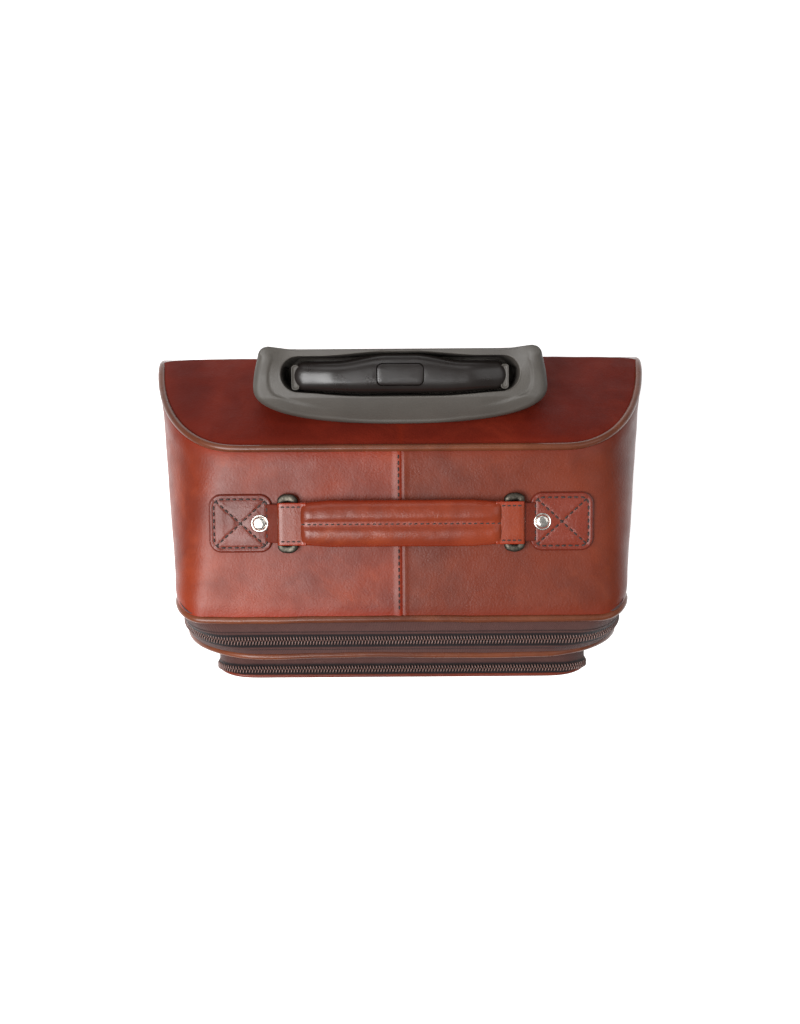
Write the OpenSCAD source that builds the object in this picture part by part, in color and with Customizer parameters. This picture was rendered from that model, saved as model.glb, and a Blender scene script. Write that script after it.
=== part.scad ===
// Wheeled leather flight case: stiffened leather body, zipped front lid with a
// zipped pocket, two-stage trolley handle and a riveted carry handle.
// +Z is up, -Y is the front, and the case stands on z = 0.

/* [Body] */
// Width over the leather at the back
back_w = 448; // [430:1:480]
// Width over the leather at the front seam
front_w = 404; // [390:1:420]
// Depth of the leather body, from the front seam to the back face
body_d = 227; // [200:1:260]
// Height of the top leather above the floor
top_z = 390; // [370:1:430]
// Height of the bottom leather above the floor
bottom_z = 26; // [24:1:32]
// Depth of the sloped shoulder behind the top seam
shoulder_d = 75; // [68:1:80]
// Drop of the sloped shoulder
shoulder_h = 95; // [85:1:105]
// Corner radius of the top edge at the back
back_corner_r = 91; // [70:1:100]
// Corner radius of the top edge at the front seam
front_corner_r = 26; // [15:1:40]
// Corner radius of the bottom edges
bottom_corner_r = 30; // [20:1:40]
// Thickness of the leather
leather_t = 2; // [1.5:0.1:3]
// Thickness of the stiffening boards
board_t = 2.5; // [2:0.1:4]
// Diameter of the piping
piping_d = 6.5; // [5:0.1:8]
// How far the sides of the front seams sit behind their middle
side_sweep = 15; // [5:1:18]

/* [Front lid] */
// Depth of the fabric band between the two pipings
band_d = 34; // [30:1:45]
// How far the lid is narrower than the body, each side
lid_inset = 3; // [2:1:8]
// Corner radius of the lid's top corners
lid_corner_r = 75; // [40:1:85]
// How far the zip line sits behind the lid's front piping
zip_back = 13; // [10:1:16]
// Width of one half of the zip's coil
coil_w = 4.6; // [3:0.1:5]

/* [Front pocket] */
// Width of the pocket
pocket_w = 336; // [280:1:350]
// Depth of the pocket
pocket_d = 22; // [18:1:26]
// Height of the pocket
pocket_h = 262; // [200:1:270]

/* [Trolley] */
// Distance between the trolley tubes
tube_span = 160; // [150:1:170]
// Outer size of the fixed tubes across the case
outer_tube_w = 28; // [26:0.1:29]
// Outer size of the fixed tubes front to back
outer_tube_d = 17; // [16:0.1:17]
// Wall of each tube
tube_wall = 1.4; // [1.2:0.1:1.5]
// Gap between one tube and the next
tube_gap = 0.4; // [0.3:0.05:0.5]
// Travel of each telescopic stage
stage_travel = 255; // [200:1:260]
// Width of the handle housing
bezel_w = 260; // [250:1:268]
// Length of the trolley grip
grip_w = 187; // [184:1:196]

/* [Carry handle] */
// Distance between the two ring pivots
ring_span = 212; // [205:1:225]
// Width of the handle's straps
strap_w = 36; // [30:1:38]
// Length of the padded grip
pad_w = 172; // [160:1:174]
// Furthest tilt of the rings, in degrees
ring_tilt = 40; // [20:1:40]

/* [Wheels] */
// Wheel diameter
wheel_d = 60; // [54:1:60]
// Wheel width
wheel_w = 24; // [20:1:24]
// Distance between the wheels' middles
wheel_span = 368; // [356:1:368]

/* [Hidden] */
$fn = 48;
gap = 0.3;            // clearance between parts that move past each other
corner_steps = 8;     // facets in each rounded corner of a soft part

back_hw = back_w / 2;
front_hw = front_w / 2;
rear_y = 133;                       // back face of the leather
front_y = rear_y - body_d;          // front seam at the middle of the top
lid_y = front_y - band_d;           // lid's front piping at the middle of the top
zip_y = lid_y + zip_back;           // zip line at the middle of the top
pocket_y = lid_y - 3 - pocket_d;    // front face of the pocket
shoulder_y = rear_y - shoulder_d;
shoulder_z = top_z - shoulder_h;
bezel_proud = 9;
frame_y = -(rear_y + bezel_proud + pocket_y) / 2;   // centres the case on y = 0
shoulder_angle = atan2(shoulder_h, shoulder_d);
inner_t = leather_t + board_t;

zip_share = (front_y - zip_y) / band_d;
lid_hw = front_hw - lid_inset;
zip_hw = front_hw - leather_t + (lid_hw - front_hw + leather_t) * zip_share;
lid_top = top_z - 4;
lid_bottom = bottom_z + 4;
lid_low_r = bottom_corner_r - leather_t;
fabric_t = 1.6;
coil_h = 1.6;
coil_sink = 0.3;                    // depth that the coil is sewn into its tape
zip_gap = 0.2;                      // distance of each half from the zip's middle line
band_tuck = 2;                      // overlap of the zip band behind the body's seam
board_margin = 3;                   // room between the lid's board and its fabric edge
hinge_z = bottom_z + leather_t + (lid_bottom - bottom_z - leather_t) * zip_share;

pocket_hw = pocket_w / 2;
pocket_bottom = lid_bottom + 78;
pocket_top = pocket_bottom + pocket_h;
pocket_r = 28;
pocket_zip_y = pocket_y + 8.5;

tube_y = rear_y - 13.5;
mid_tube_w = outer_tube_w - 2 * tube_wall - 2 * tube_gap;
mid_tube_d = outer_tube_d - 2 * tube_wall - 2 * tube_gap;
inner_tube_w = mid_tube_w - 2 * tube_wall - 2 * tube_gap;
inner_tube_d = mid_tube_d - 2 * tube_wall - 2 * tube_gap;
rod_d = 4;
bracket_z = bottom_z + inner_t;
bracket_back = rear_y - inner_t - 0.1;
outer_tube_low = bracket_z + 4;
recess_z = top_z - 38;              // floor of the handle housing's recess
collar_t = 6;
outer_tube_top = recess_z - collar_t;
mid_tube_low = outer_tube_low + 10;
mid_tube_top = recess_z + 2;
lock_z = mid_tube_low + 4;
lock_h = 20;
inner_tube_low = lock_z + lock_h;
grip_z = recess_z + 13;             // underside of the trolley grip
grip_split = grip_z + 12;
grip_top = top_z + 3;
inner_tube_top = grip_z + 6;
grip_d = 30;
button_w = 40;
button_d = 17;
button_travel = 3;
link_z = grip_z + 13;
pin_d = 5;
pin_reach = tube_gap / 2;           // a stored lock pin ends between its block and the tube's wall
pin_hole_z = lock_z + 8 + stage_travel;  // the pins spring out here, with the stage at full reach

wheel_y = rear_y - wheel_d / 2 - 1;
wheel_z = wheel_d / 2;
tyre_t = 9;                         // depth of the tyre over its hub
hub_d = wheel_d - 2 * tyre_t;
axle_d = 8;
bearing_d = 22;
bearing_w = 7;
hub_room = (hub_d - bearing_d) / 2;
hub_hole_d = 0.56 * hub_room;
hub_hole_x = (hub_d + bearing_d) / 4 - 0.5;
housing_w = 74;                     // width left for the wheel, about its middle
housing_in = wheel_span / 2 - housing_w / 2;
housing_out = back_hw - 3;          // outer face, just inside the leather's sides
housing_d = wheel_d + 10;
housing_back = rear_y - 0.5;
housing_front = housing_back - housing_d;
housing_top = 92;
well_w = wheel_w + 7;
well_r = wheel_d / 2 + 4;

handle_y = -9;
handle_z = top_z + 5.6;             // height of the rings' bars
ring_x = ring_span / 2;             // outer bars, held by the riveted tabs
ring_l = 13;                        // distance between a ring's two bars
ring_hw = strap_w / 2 + 4.6;
wire_r = 2.6;
loop_in = wire_r + 0.08;
loop_t = 1.5;
patch_x = ring_x + 38;              // middle of the riveted patch
rivet_x = ring_x + 21.4;
pad_d = 41;
pad_t = 15;
strap_tuck = 7;                     // length of the straps' ends inside the pad

// ---------- Outlines and general shapes ----------

// Corner arc points about [cx, cz], from angle a0 to a1.
function arc(cx, cz, r, a0, a1) =
    [for (i = [0:corner_steps]) let (a = a0 + (a1 - a0) * i / corner_steps)
        [cx + r * cos(a), cz + r * sin(a)]];

// Closed outline of an upright rounded panel in the X-Z plane.
function outline(hw, low, high, r_low, r_high) = concat(
    arc(hw - r_high, high - r_high, r_high, 0, 90),
    arc(-hw + r_high, high - r_high, r_high, 90, 180),
    arc(-hw + r_low, low + r_low, r_low, 180, 270),
    arc(hw - r_low, low + r_low, r_low, 270, 360));

// Backward sweep of a front seam at x, on an outline of half width hw and corner r.
function sweep_back(x, hw, r) =
    let (t = min(1, max(0, (abs(x) - hw + r) / r))) side_sweep * (1 - sqrt(1 - t * t));

// Plan curve of a front seam: points [x, y] from left to right.
function seam_curve(y, hw, r) = let (n = 10) concat(
    [[-hw - 60, y + side_sweep]],
    [for (i = [0:n]) let (x = -hw + r * (1 - cos(90 * i / n))) [x, y + sweep_back(x, hw, r)]],
    [for (i = [n:-1:0]) let (x = hw - r * (1 - cos(90 * i / n))) [x, y + sweep_back(x, hw, r)]],
    [[hw + 60, y + side_sweep]]);

// Everything behind one plan curve and in front of another, full height.
module between_curves(front_curve, back_curve) {
    rev = [for (i = [len(back_curve) - 1:-1:0]) back_curve[i]];
    translate([0, 0, -50]) linear_extrude(600) polygon(concat(front_curve, rev));
}

// Upright panel with its outline in X-Z, from y0 to y1.
module panel(pts, y0, y1) {
    translate([0, y1, 0]) rotate([90, 0, 0]) linear_extrude(y1 - y0) polygon(pts);
}

// Prism along X of a side profile given as [y, z] points.
module side_prism(pts, hw) {
    translate([-hw, 0, 0]) rotate([90, 0, 90]) linear_extrude(2 * hw) polygon(pts);
}

// Skin through equal loops of 3D points, capped at both ends or closed into a ring.
module skin(loops, closed = false) {
    n = len(loops[0]);
    m = len(loops);
    points = [for (l = loops) each l];
    sides = [for (j = [0:closed ? m - 1 : m - 2], i = [0:n - 1]) let (k = (j + 1) % m, h = (i + 1) % n)
        each [[j * n + i, k * n + i, j * n + h], [j * n + h, k * n + i, k * n + h]]];
    first = [for (i = [0:n - 1]) i];
    last = [for (i = [n - 1:-1:0]) (m - 1) * n + i];
    polyhedron(points, closed ? sides : concat([first], sides, [last]), convexity = 8);
}

// Ring of points of radius r about a line's point p, square to the direction t.
function tube_ring(p, t, r, sides) = let (th = t / norm(t), u = cross(th, [0, 1, 0]),
    uu = u / norm(u), v = cross(uu, th))
    [for (k = [0:sides - 1]) p + r * (cos(360 * k / sides) * uu - sin(360 * k / sides) * v)];

// Tube of diameter d along a closed line.
module closed_tube(path, d, sides = 8) {
    n = len(path);
    skin([for (i = [0:n - 1]) tube_ring(path[i], path[(i + 1) % n] - path[(i + n - 1) % n],
        d / 2, sides)], true);
}

// Tube of diameter d along an open line.
module open_tube(path, d, sides = 8) {
    n = len(path);
    skin([for (i = [0:n - 1]) tube_ring(path[i], path[min(i + 1, n - 1)] - path[max(i - 1, 0)],
        d / 2, sides)]);
}

// Spring of wire w along +Z: mean radius r, height h, so many turns.
module coil_spring(r, w, h, turns) {
    steps = 12 * turns;
    skin([for (i = [0:steps]) let (a = 30 * i, z = w / 2 + (h - w) * i / steps)
        [for (k = [0:5]) [(r + w / 2 * cos(60 * k)) * cos(a), (r + w / 2 * cos(60 * k)) * sin(a),
            z + w / 2 * sin(60 * k)]]]);
}

// Rounded rectangle of size w by d about the origin, in plan.
module rounded_plan(w, d, r) {
    union() {
        square([w - 2 * r, d], center = true);
        square([w, d - 2 * r], center = true);
        for (sx = [-1, 1], sy = [-1, 1]) translate([sx * (w / 2 - r), sy * (d / 2 - r)]) circle(r);
    }
}

module rounded_block(w, d, r, z0, z1) {
    translate([0, 0, z0]) linear_extrude(z1 - z0) rounded_plan(w, d, r);
}

module hollow_tube(w, d, wall, z0, z1) {
    difference() {
        rounded_block(w, d, 4, z0, z1);
        rounded_block(w - 2 * wall, d - 2 * wall, 4 - wall, z0 - 1, z1 + 1);
    }
}

module at_tubes() {
    for (s = [-1, 1]) translate([s * tube_span / 2, tube_y, 0]) children();
}

module placed() { translate([0, frame_y, 0]) children(); }

// ---------- Leather body ----------

// Half width and top corner radius of the body at depth y.
function body_hw(y) = front_hw + (back_hw - front_hw) * (y - front_y) / body_d;
function body_r(y) = front_corner_r + (back_corner_r - front_corner_r) * (y - front_y) / body_d;

// Outline of the body at depth y, drawn in by t.
function body_outline(y, t) = outline(body_hw(y) - t, bottom_z + t, top_z - t,
    bottom_corner_r - t, body_r(y) - t);

// Loop round the body, drawn in by t, whose point i lies at depth ys[i].
function body_loop(ys, t) = [for (i = [0:len(ys) - 1]) let (p = body_outline(ys[i], t)[i])
    [p[0], ys[i], p[1]]];

// Depth at which point i of the body, drawn in by t, meets the shoulder or back drawn in by s.
function back_depth(i, t, s) = let (n = corner_steps + 1,
    q = i < 2 * n ? 1 - sin(90 * (i < n ? i : i - 1) / corner_steps) : 0,
    grow = (back_corner_r - front_corner_r) / body_d,
    slope = shoulder_h / shoulder_d,
    level = shoulder_z - s / cos(shoulder_angle) + rear_y * slope - top_z + t
        + (front_corner_r - grow * front_y - t) * q)
    i < 2 * n ? min(rear_y - s, level / (slope - grow * q)) : rear_y - s;

outline_n = 4 * (corner_steps + 1);
function back_depths(t, s) = [for (i = [0:outline_n - 1]) back_depth(i, t, s)];
function front_depths(dy = 0) = [for (p = body_outline(front_y, 0))
    front_y + dy + sweep_back(p[0], front_hw, front_corner_r)];

// Side profile [y, z] of a sheet along the back face and shoulder, from inset s0 to s1 and
// between heights z0 and z1.
function back_sheet(s0, s1, z0, z1) = let (
    bend = function (s) [rear_y - s, shoulder_z - s * (1 - sin(shoulder_angle)) / cos(shoulder_angle)],
    high = function (s) [shoulder_y - s / sin(shoulder_angle)
        + (top_z - z1) * shoulder_d / shoulder_h, z1])
    z0 < shoulder_z - 10
        ? [[rear_y - s0, z0], bend(s0), high(s0), high(s1), bend(s1), [rear_y - s1, z0]]
        : [bend(s0), high(s0), high(s1), bend(s1)];

lid_edge = seam_curve(lid_y, lid_hw, lid_corner_r);
function shifted(curve, dy) = [for (p = curve) [p[0], p[1] + dy]];

// Room cut out of the lower rear corners for the wheel housings.
module wheel_notches(grow = 0) {
    x0 = housing_in - grow;
    y0 = housing_front - grow;
    for (s = [0, 1]) mirror([s, 0, 0]) translate([x0, y0, -1])
        cube([back_w, housing_d + 60, housing_top + 1 + grow]);
}

module leather_gusset() {
    color("#7a2f1c") difference() {
        skin([body_loop(front_depths(), 0), body_loop(back_depths(0, leather_t), 0),
            body_loop(back_depths(leather_t, leather_t), leather_t),
            body_loop(front_depths(), leather_t)], true);
        wheel_notches();
        for (s = [-1, 1]) translate([s * foot_x, foot_y, bottom_z - 1]) cylinder(d = 5, h = 10);
    }
}

module back_panel() {
    n = corner_steps + 1;
    notch_x = housing_in - gap;
    seam = body_loop(back_depths(0, 0), 0);
    half = concat([[notch_x, bottom_z], [notch_x, housing_top + gap],
        [body_hw(rear_y), housing_top + gap]], [for (i = [0:n - 1]) [seam[i][0], seam[i][2]]]);
    other = [for (i = [len(half) - 1:-1:0]) [-half[i][0], half[i][1]]];
    color("#6b2416") difference() {
        intersection() {
            side_prism(back_sheet(0, leather_t, bottom_z, top_z), back_w);
            panel(concat(half, other), 0, rear_y + 1);
        }
        at_tubes() rounded_block(outer_tube_w + 1, outer_tube_d + 1, 4, shoulder_z - 40, top_z);
    }
}

module back_piping() {
    sink = 1;
    seam = body_loop(back_depths(sink, sink), sink);
    x = body_hw(rear_y) - sink;
    function side(s) = [for (z = [shoulder_z - 4, (shoulder_z + housing_top) / 2, housing_top + 5])
        [s * x, rear_y - sink, z]];
    n = 2 * (corner_steps + 1);
    color("#5c3324") open_tube(concat([for (i = [2:-1:0]) side(-1)[i]],
        [for (i = [n - 1:-1:0]) seam[i]], side(1)), piping_d);
}

// Closed line of a front seam, lying on its swept plan curve.
function seam_line(hw, low, high, r_low, r_high, y, sweep_r) =
    [for (p = outline(hw, low, high, r_low, r_high)) [p[0], y + sweep_back(p[0], hw, sweep_r), p[1]]];

module front_piping() {
    color("#5c3324") closed_tube(seam_line(front_hw - 0.5, bottom_z + 0.5, top_z - 0.5,
        bottom_corner_r, front_corner_r, front_y - 2, front_corner_r), piping_d);
}

// ---------- Stiffening boards ----------
board_front = front_y + side_sweep + 3;
board_end = shoulder_y - 4;
side_low = housing_top + 4;
side_high = top_z - back_corner_r - 1;

module top_board() {
    x0 = body_hw(board_front) - body_r(board_front) - 1;
    x1 = body_hw(board_end) - body_r(board_end) - 1;
    y0 = front_y + 4;
    color("#c9b79a") translate([0, 0, top_z - inner_t]) linear_extrude(board_t) polygon([
        [-x0, y0], [x0, y0], [x1, board_end], [-x1, board_end]]);
}

module base_board() {
    hw = front_hw - bottom_corner_r;
    notch_x = housing_in - 1;
    color("#c9b79a") difference() {
        union() {
            translate([-hw, board_front, bottom_z + leather_t])
                cube([2 * hw, housing_front - 2 - board_front, board_t]);
            translate([-notch_x, board_front, bottom_z + leather_t])
                cube([2 * notch_x, rear_y - inner_t - 1 - board_front, board_t]);
        }
        for (s = [-1, 1]) translate([s * foot_x, foot_y, bottom_z - 1]) cylinder(d = 5, h = 10);
    }
}

// Board behind one side, narrowed over the wheel housing.
module side_board(s) {
    y0 = board_front;
    y1 = rear_y - inner_t - 1;
    y2 = housing_front - 2;
    low = bottom_z + bottom_corner_r + 1;
    module slab(y_back, z0) {
        translate([0, 0, z0]) linear_extrude(side_high - z0) polygon([
            [s * (body_hw(y0) - leather_t), y0], [s * (body_hw(y_back) - leather_t), y_back],
            [s * (body_hw(y_back) - inner_t), y_back], [s * (body_hw(y0) - inner_t), y0]]);
    }
    color("#c9b79a") union() {
        slab(y1, side_low);
        slab(y2, low);
    }
}

// Curved board behind points i0 to i1 of the body's outline, from y0 to y1 or to the shoulder.
module bent_board(i0, i1, y0, y1, to_shoulder) {
    clear = inner_t + 0.5;
    function depth(i, t) = to_shoulder ? min(y1, back_depth(i, t, clear)) : y1;
    function at(i, t, y) = let (p = body_outline(y, t)[i]) [p[0], y, p[1]];
    skin([for (i = [i0:i1]) [at(i, leather_t, y0), at(i, inner_t, y0),
        at(i, inner_t, depth(i, inner_t)), at(i, leather_t, depth(i, leather_t))]]);
}

module corner_formers() {
    n = corner_steps + 1;
    color("#b8a585") union() {
        for (q = [0, 1])
            bent_board(q * n, q * n + corner_steps, board_front, rear_y - inner_t - 1, true);
        for (q = [2, 3])
            bent_board(q * n, q * n + corner_steps, board_front, housing_front - 2, false);
    }
}

module back_board() {
    color("#c9b79a") difference() {
        translate([-back_hw + 16, rear_y - leather_t - board_t, bottom_z + inner_t])
            cube([back_w - 32, board_t, shoulder_z - 8 - bottom_z - inner_t]);
        wheel_notches(0.5);
    }
}

module shoulder_board() {
    seam = body_loop(back_depths(inner_t + 1, leather_t), inner_t + 1);
    half = concat([[body_hw(rear_y) - inner_t - 1, shoulder_z - 1]],
        [for (i = [0:corner_steps]) [seam[i][0], min(seam[i][2], top_z - inner_t - 3)]]);
    other = [for (i = [len(half) - 1:-1:0]) [-half[i][0], half[i][1]]];
    color("#c9b79a") difference() {
        intersection() {
            side_prism(back_sheet(leather_t, inner_t, shoulder_z, top_z), back_w);
            panel(concat(half, other), 0, rear_y - inner_t - 3);
        }
        at_tubes() rounded_block(outer_tube_w + 1, outer_tube_d + 1, 4, shoulder_z - 40, top_z);
    }
}

module liner_panel() {
    y = tube_y - outer_tube_d / 2 - 4;
    color("#2d2a2a") difference() {
        translate([-back_hw + 44, y, bottom_z + inner_t + 0.5])
            cube([back_w - 88, 2, shoulder_z - bottom_z - inner_t - 16]);
        wheel_notches(2);
    }
}

// ---------- Front zip band ----------

// Loop of the zip band at share u of its depth, raised by t: from the body's seam
// at u = 0 to the lid's piping at u = 1, moved back by dy.
function band_loop(u, t, dy = 0) = let (
    hw = front_hw - leather_t + (lid_hw - front_hw + leather_t) * u,
    r = front_corner_r - leather_t + (lid_corner_r - front_corner_r + leather_t) * u,
    low = bottom_z + leather_t + (lid_bottom - bottom_z - leather_t) * u,
    high = top_z - leather_t + (lid_top - top_z + leather_t) * u,
    r_low = bottom_corner_r - leather_t,
    y = front_y - band_d * u + dy)
    [for (p = outline(hw + t, low - t, high + t, r_low + t, r + t))
        [p[0], y + sweep_back(p[0], hw + t, r + t), p[1]]];

// Band from share u0 back to share u1, as a closed ring of fabric.
module fabric_ring(u0, u1, dy0, dy1) {
    skin([band_loop(u0, 0, dy0), band_loop(u1, 0, dy1), band_loop(u1, -fabric_t, dy1),
        band_loop(u0, -fabric_t, dy0)], true);
}

// One half of the zip's coil between shares u0 and u1 of the band, sewn a little into its
// tape, up one side, over the top and down the other.
module coil_strip(u0, u1, dy) {
    a = band_loop(u0, coil_h, dy);
    b = band_loop(u1, coil_h, dy);
    c = band_loop(u1, -coil_sink, dy);
    d = band_loop(u0, -coil_sink, dy);
    n = 2 * (corner_steps + 1);
    skin([for (k = concat([outline_n - 1], [for (i = [0:n]) i])) [a[k], d[k], c[k], b[k]]]);
}

module body_zip_band() {
    color("#3f2b2b") fabric_ring(zip_share, 0, zip_gap, band_tuck);
}

module body_zip_coil() {
    color("#1f1a1c") coil_strip(zip_share, zip_share - coil_w / band_d, zip_gap);
}

module lid_zip_band() {
    color("#3f2b2b") fabric_ring(1, zip_share, 0, -zip_gap);
}

module lid_zip_coil() {
    color("#1f1a1c") coil_strip(zip_share + coil_w / band_d, zip_share, -zip_gap);
}

module lid_piping() {
    color("#6b3a26") closed_tube(seam_line(lid_hw - 1, lid_bottom + 1, lid_top - 1,
        lid_low_r, lid_corner_r, lid_y - 1, lid_corner_r), piping_d - 1);
}

module lid_panel() {
    color("#7a2f1c") intersection() {
        panel(outline(lid_hw - 1, lid_bottom + 1, lid_top - 1, lid_low_r - 1, lid_corner_r - 1),
            lid_y - 30, lid_y + 40);
        between_curves(shifted(lid_edge, -leather_t - 0.5), shifted(lid_edge, -0.5));
    }
}

module lid_board() {
    board_gap = fabric_t + board_margin;
    color("#c9b79a") intersection() {
        panel(outline(lid_hw - board_gap, lid_bottom + board_gap, lid_top - board_gap,
            lid_low_r - 4, lid_corner_r - 4), lid_y - 30, lid_y + 40);
        between_curves(shifted(lid_edge, -0.4), shifted(lid_edge, board_t - 0.4));
    }
}

// ---------- Front pocket ----------
pocket_back_y = lid_y - leather_t - 0.5;

module pocket_ring(t_out, t_in, y0, y1) {
    difference() {
        panel(outline(pocket_hw + t_out, pocket_bottom - t_out, pocket_top + t_out,
            pocket_r + t_out, pocket_r + t_out), y0, y1);
        panel(outline(pocket_hw - t_in, pocket_bottom + t_in, pocket_top - t_in,
            pocket_r - t_in, pocket_r - t_in), y0 - 1, y1 + 1);
    }
}

module pocket_coil(y0, y1) {
    intersection() {
        pocket_ring(coil_h, 0.2, y0, y1);
        translate([-200, -300, pocket_bottom + 40]) cube([400, 600, 400]);
    }
}

module pocket_back_band() {
    color("#3f2b2b") difference() {
        union() {
            intersection() {
                pocket_ring(0, fabric_t, pocket_zip_y + 0.2, lid_y + 20);
                between_curves([[-300, -300], [300, -300]], shifted(lid_edge, -leather_t - 0.5));
            }
            pocket_coil(pocket_zip_y + 0.2, pocket_zip_y + 0.2 + coil_w - 0.6);
        }
    }
}

module pocket_front_band() {
    color("#3f2b2b") union() {
        pocket_ring(0, fabric_t, pocket_y + leather_t, pocket_zip_y - 0.2);
        pocket_coil(pocket_zip_y - 0.2 - coil_w + 0.6, pocket_zip_y - 0.2);
    }
}

module pocket_panel() {
    color("#7a2f1c") panel(outline(pocket_hw + 0.5, pocket_bottom - 0.5, pocket_top + 0.5,
        pocket_r + 0.5, pocket_r + 0.5), pocket_y, pocket_y + leather_t);
}

// ---------- Zip sliders ----------
slider_z = hinge_z + 62;
zip_side_y = zip_y + side_sweep;
slider_x = zip_hw + coil_h + 2 * gap;
pocket_slider_z = pocket_bottom + 66;
pocket_slider_x = pocket_hw + coil_h + gap;

// Slider body lying on the +X side of a zip, and the eye that holds its pull.
module slider_at(x, y, z) {
    color("#8d8a86") translate([x, y, z]) difference() {
        union() {
            translate([0, -4.5, -7]) cube([1.6, 9, 14]);
            translate([1.6, -1.5, -4]) cube([3.4, 3, 8]);
        }
        translate([3.1, -2, 0]) rotate([-90, 0, 0]) cylinder(r = 0.95, h = 4);
    }
}

// Pull tab hanging from the slider's eye.
module pull_at(x, y, z) {
    color("#8d8a86") translate([x + 3.1, y, z]) union() {
        rotate([90, 0, 0]) cylinder(r = 0.9, h = 6.4, center = true);
        for (s = [-1, 1]) translate([-0.9, s * 2.5 - 0.7, -11]) cube([1.8, 1.4, 11]);
        difference() {
            translate([-0.9, -4, -40]) cube([1.8, 8, 30]);
            translate([-2, 0, -35]) rotate([0, 90, 0]) cylinder(r = 1.8, h = 4);
        }
    }
}

// ---------- Carry handle ----------

// Strap loop round a ring bar, as an X-Z profile, drawn along Y.
module strap(profile_w) {
    rotate([90, 0, 0]) linear_extrude(profile_w, center = true) children();
}

// Riveted leather tab: a stitched patch and a loop round the ring's outer bar.
module handle_tab() {
    base = top_z + 0.1;
    color("#5f2a1c") translate([0, handle_y, 0]) union() {
        difference() {
            translate([patch_x, 0, 0]) rounded_block(56, 52, 8, base, base + 2.6);
            translate([rivet_x, 0, base - 1]) cylinder(d = 4, h = 8);
        }
        difference() {
            union() {
                translate([ring_x, 0, handle_z]) rotate([90, 0, 0])
                    cylinder(r = loop_in + loop_t, h = strap_w, center = true);
                translate([ring_x, -strap_w / 2, base]) cube([14, strap_w, 2.6]);
            }
            translate([ring_x, 0, handle_z]) rotate([90, 0, 0])
                cylinder(r = loop_in, h = strap_w + 2, center = true);
        }
    }
}

module handle_rivets() {
    base = top_z + 2.7;
    color("silver") for (s = [-1, 1]) translate([s * rivet_x, handle_y, 0]) union() {
        translate([0, 0, base - 7]) cylinder(d = 3.8, h = 7);
        difference() {
            translate([0, 0, base]) cylinder(d = 15.6, h = 1.6);
            translate([0, 0, base + 0.9]) cylinder(d = 12, h = 2);
        }
        translate([0, 0, base]) cylinder(d = 10.6, h = 2.4);
        translate([0, 0, base - 8.2]) cylinder(d = 12, h = 1.2);
    }
}

// Rectangular wire ring lying flat, with rounded corners.
module ring() {
    bend = 4;
    color("#77746c") translate([ring_x - ring_l / 2, handle_y, handle_z]) union() {
        for (s = [-1, 1]) {
            translate([s * ring_l / 2, 0, 0]) rotate([90, 0, 0])
                cylinder(r = wire_r, h = 2 * (ring_hw - bend), center = true);
            translate([0, s * ring_hw, 0]) rotate([0, 90, 0])
                cylinder(r = wire_r, h = ring_l - 2 * bend, center = true);
        }
        for (k = [0:3]) translate([(k == 0 || k == 3 ? 1 : -1) * (ring_l / 2 - bend),
            (k < 2 ? 1 : -1) * (ring_hw - bend), 0]) rotate([0, 0, 90 * k])
            rotate_extrude(angle = 90) translate([bend, 0]) circle(r = wire_r);
    }
}

// Stadium slot that lets a ring bar slide outwards as the handle lifts.
module slot_profile(r, reach) {
    union() {
        circle(r);
        translate([0, -r]) square([reach, 2 * r]);
        translate([reach, 0]) circle(r);
    }
}

module handle_loops() {
    x1 = ring_x - ring_l;
    reach_in = x1 - pad_w / 2 + strap_tuck;
    reach = ring_l * (1 - cos(ring_tilt)) + 0.3;
    slot_r = wire_r + 0.6;
    color("#7a2f1c") for (s = [0, 1]) mirror([s, 0, 0]) translate([x1, handle_y, handle_z])
        difference() {
            union() {
                strap(strap_w) slot_profile(slot_r + loop_t, reach - 0.2);
                translate([-reach_in, -strap_w / 2, -2.2]) cube([reach_in, strap_w, 4.4]);
            }
            strap(strap_w + 2) slot_profile(slot_r, reach);
        }
}

module handle_pad() {
    color("#8a3a22") translate([0, handle_y, top_z + 1 + pad_t / 2]) difference() {
        hull() for (sx = [-1, 1], sy = [-1, 1])
            translate([sx * (pad_w / 2 - 5), sy * (pad_d / 2 - pad_t / 2 + 1), 0]) rotate([0, 90, 0])
                cylinder(d = pad_t - 1, h = 10, center = true, $fn = 20);
        for (s = [-1, 1]) translate([s * pad_w / 2, 0, handle_z - top_z - 1 - pad_t / 2])
            cube([2 * strap_tuck + 0.2, strap_w + 0.2, 4.6], center = true);
    }
}

// ---------- Trolley ----------
bezel_hw = bezel_w / 2;
bezel_lip_y = shoulder_y + 19;
bezel_rear = rear_y + bezel_proud;
bezel_low = shoulder_z - 14;
function shoulder_height(y) = top_z - (y - shoulder_y) * shoulder_h / shoulder_d;

module bezel_plan() {
    r = 38;
    union() {
        translate([-bezel_hw, bezel_lip_y + r]) square([bezel_w, bezel_rear - bezel_lip_y - r]);
        translate([-bezel_hw + r, bezel_lip_y]) square([bezel_w - 2 * r, r + 1]);
        for (s = [-1, 1]) translate([s * (bezel_hw - r), bezel_lip_y + r]) circle(r);
    }
}

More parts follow.
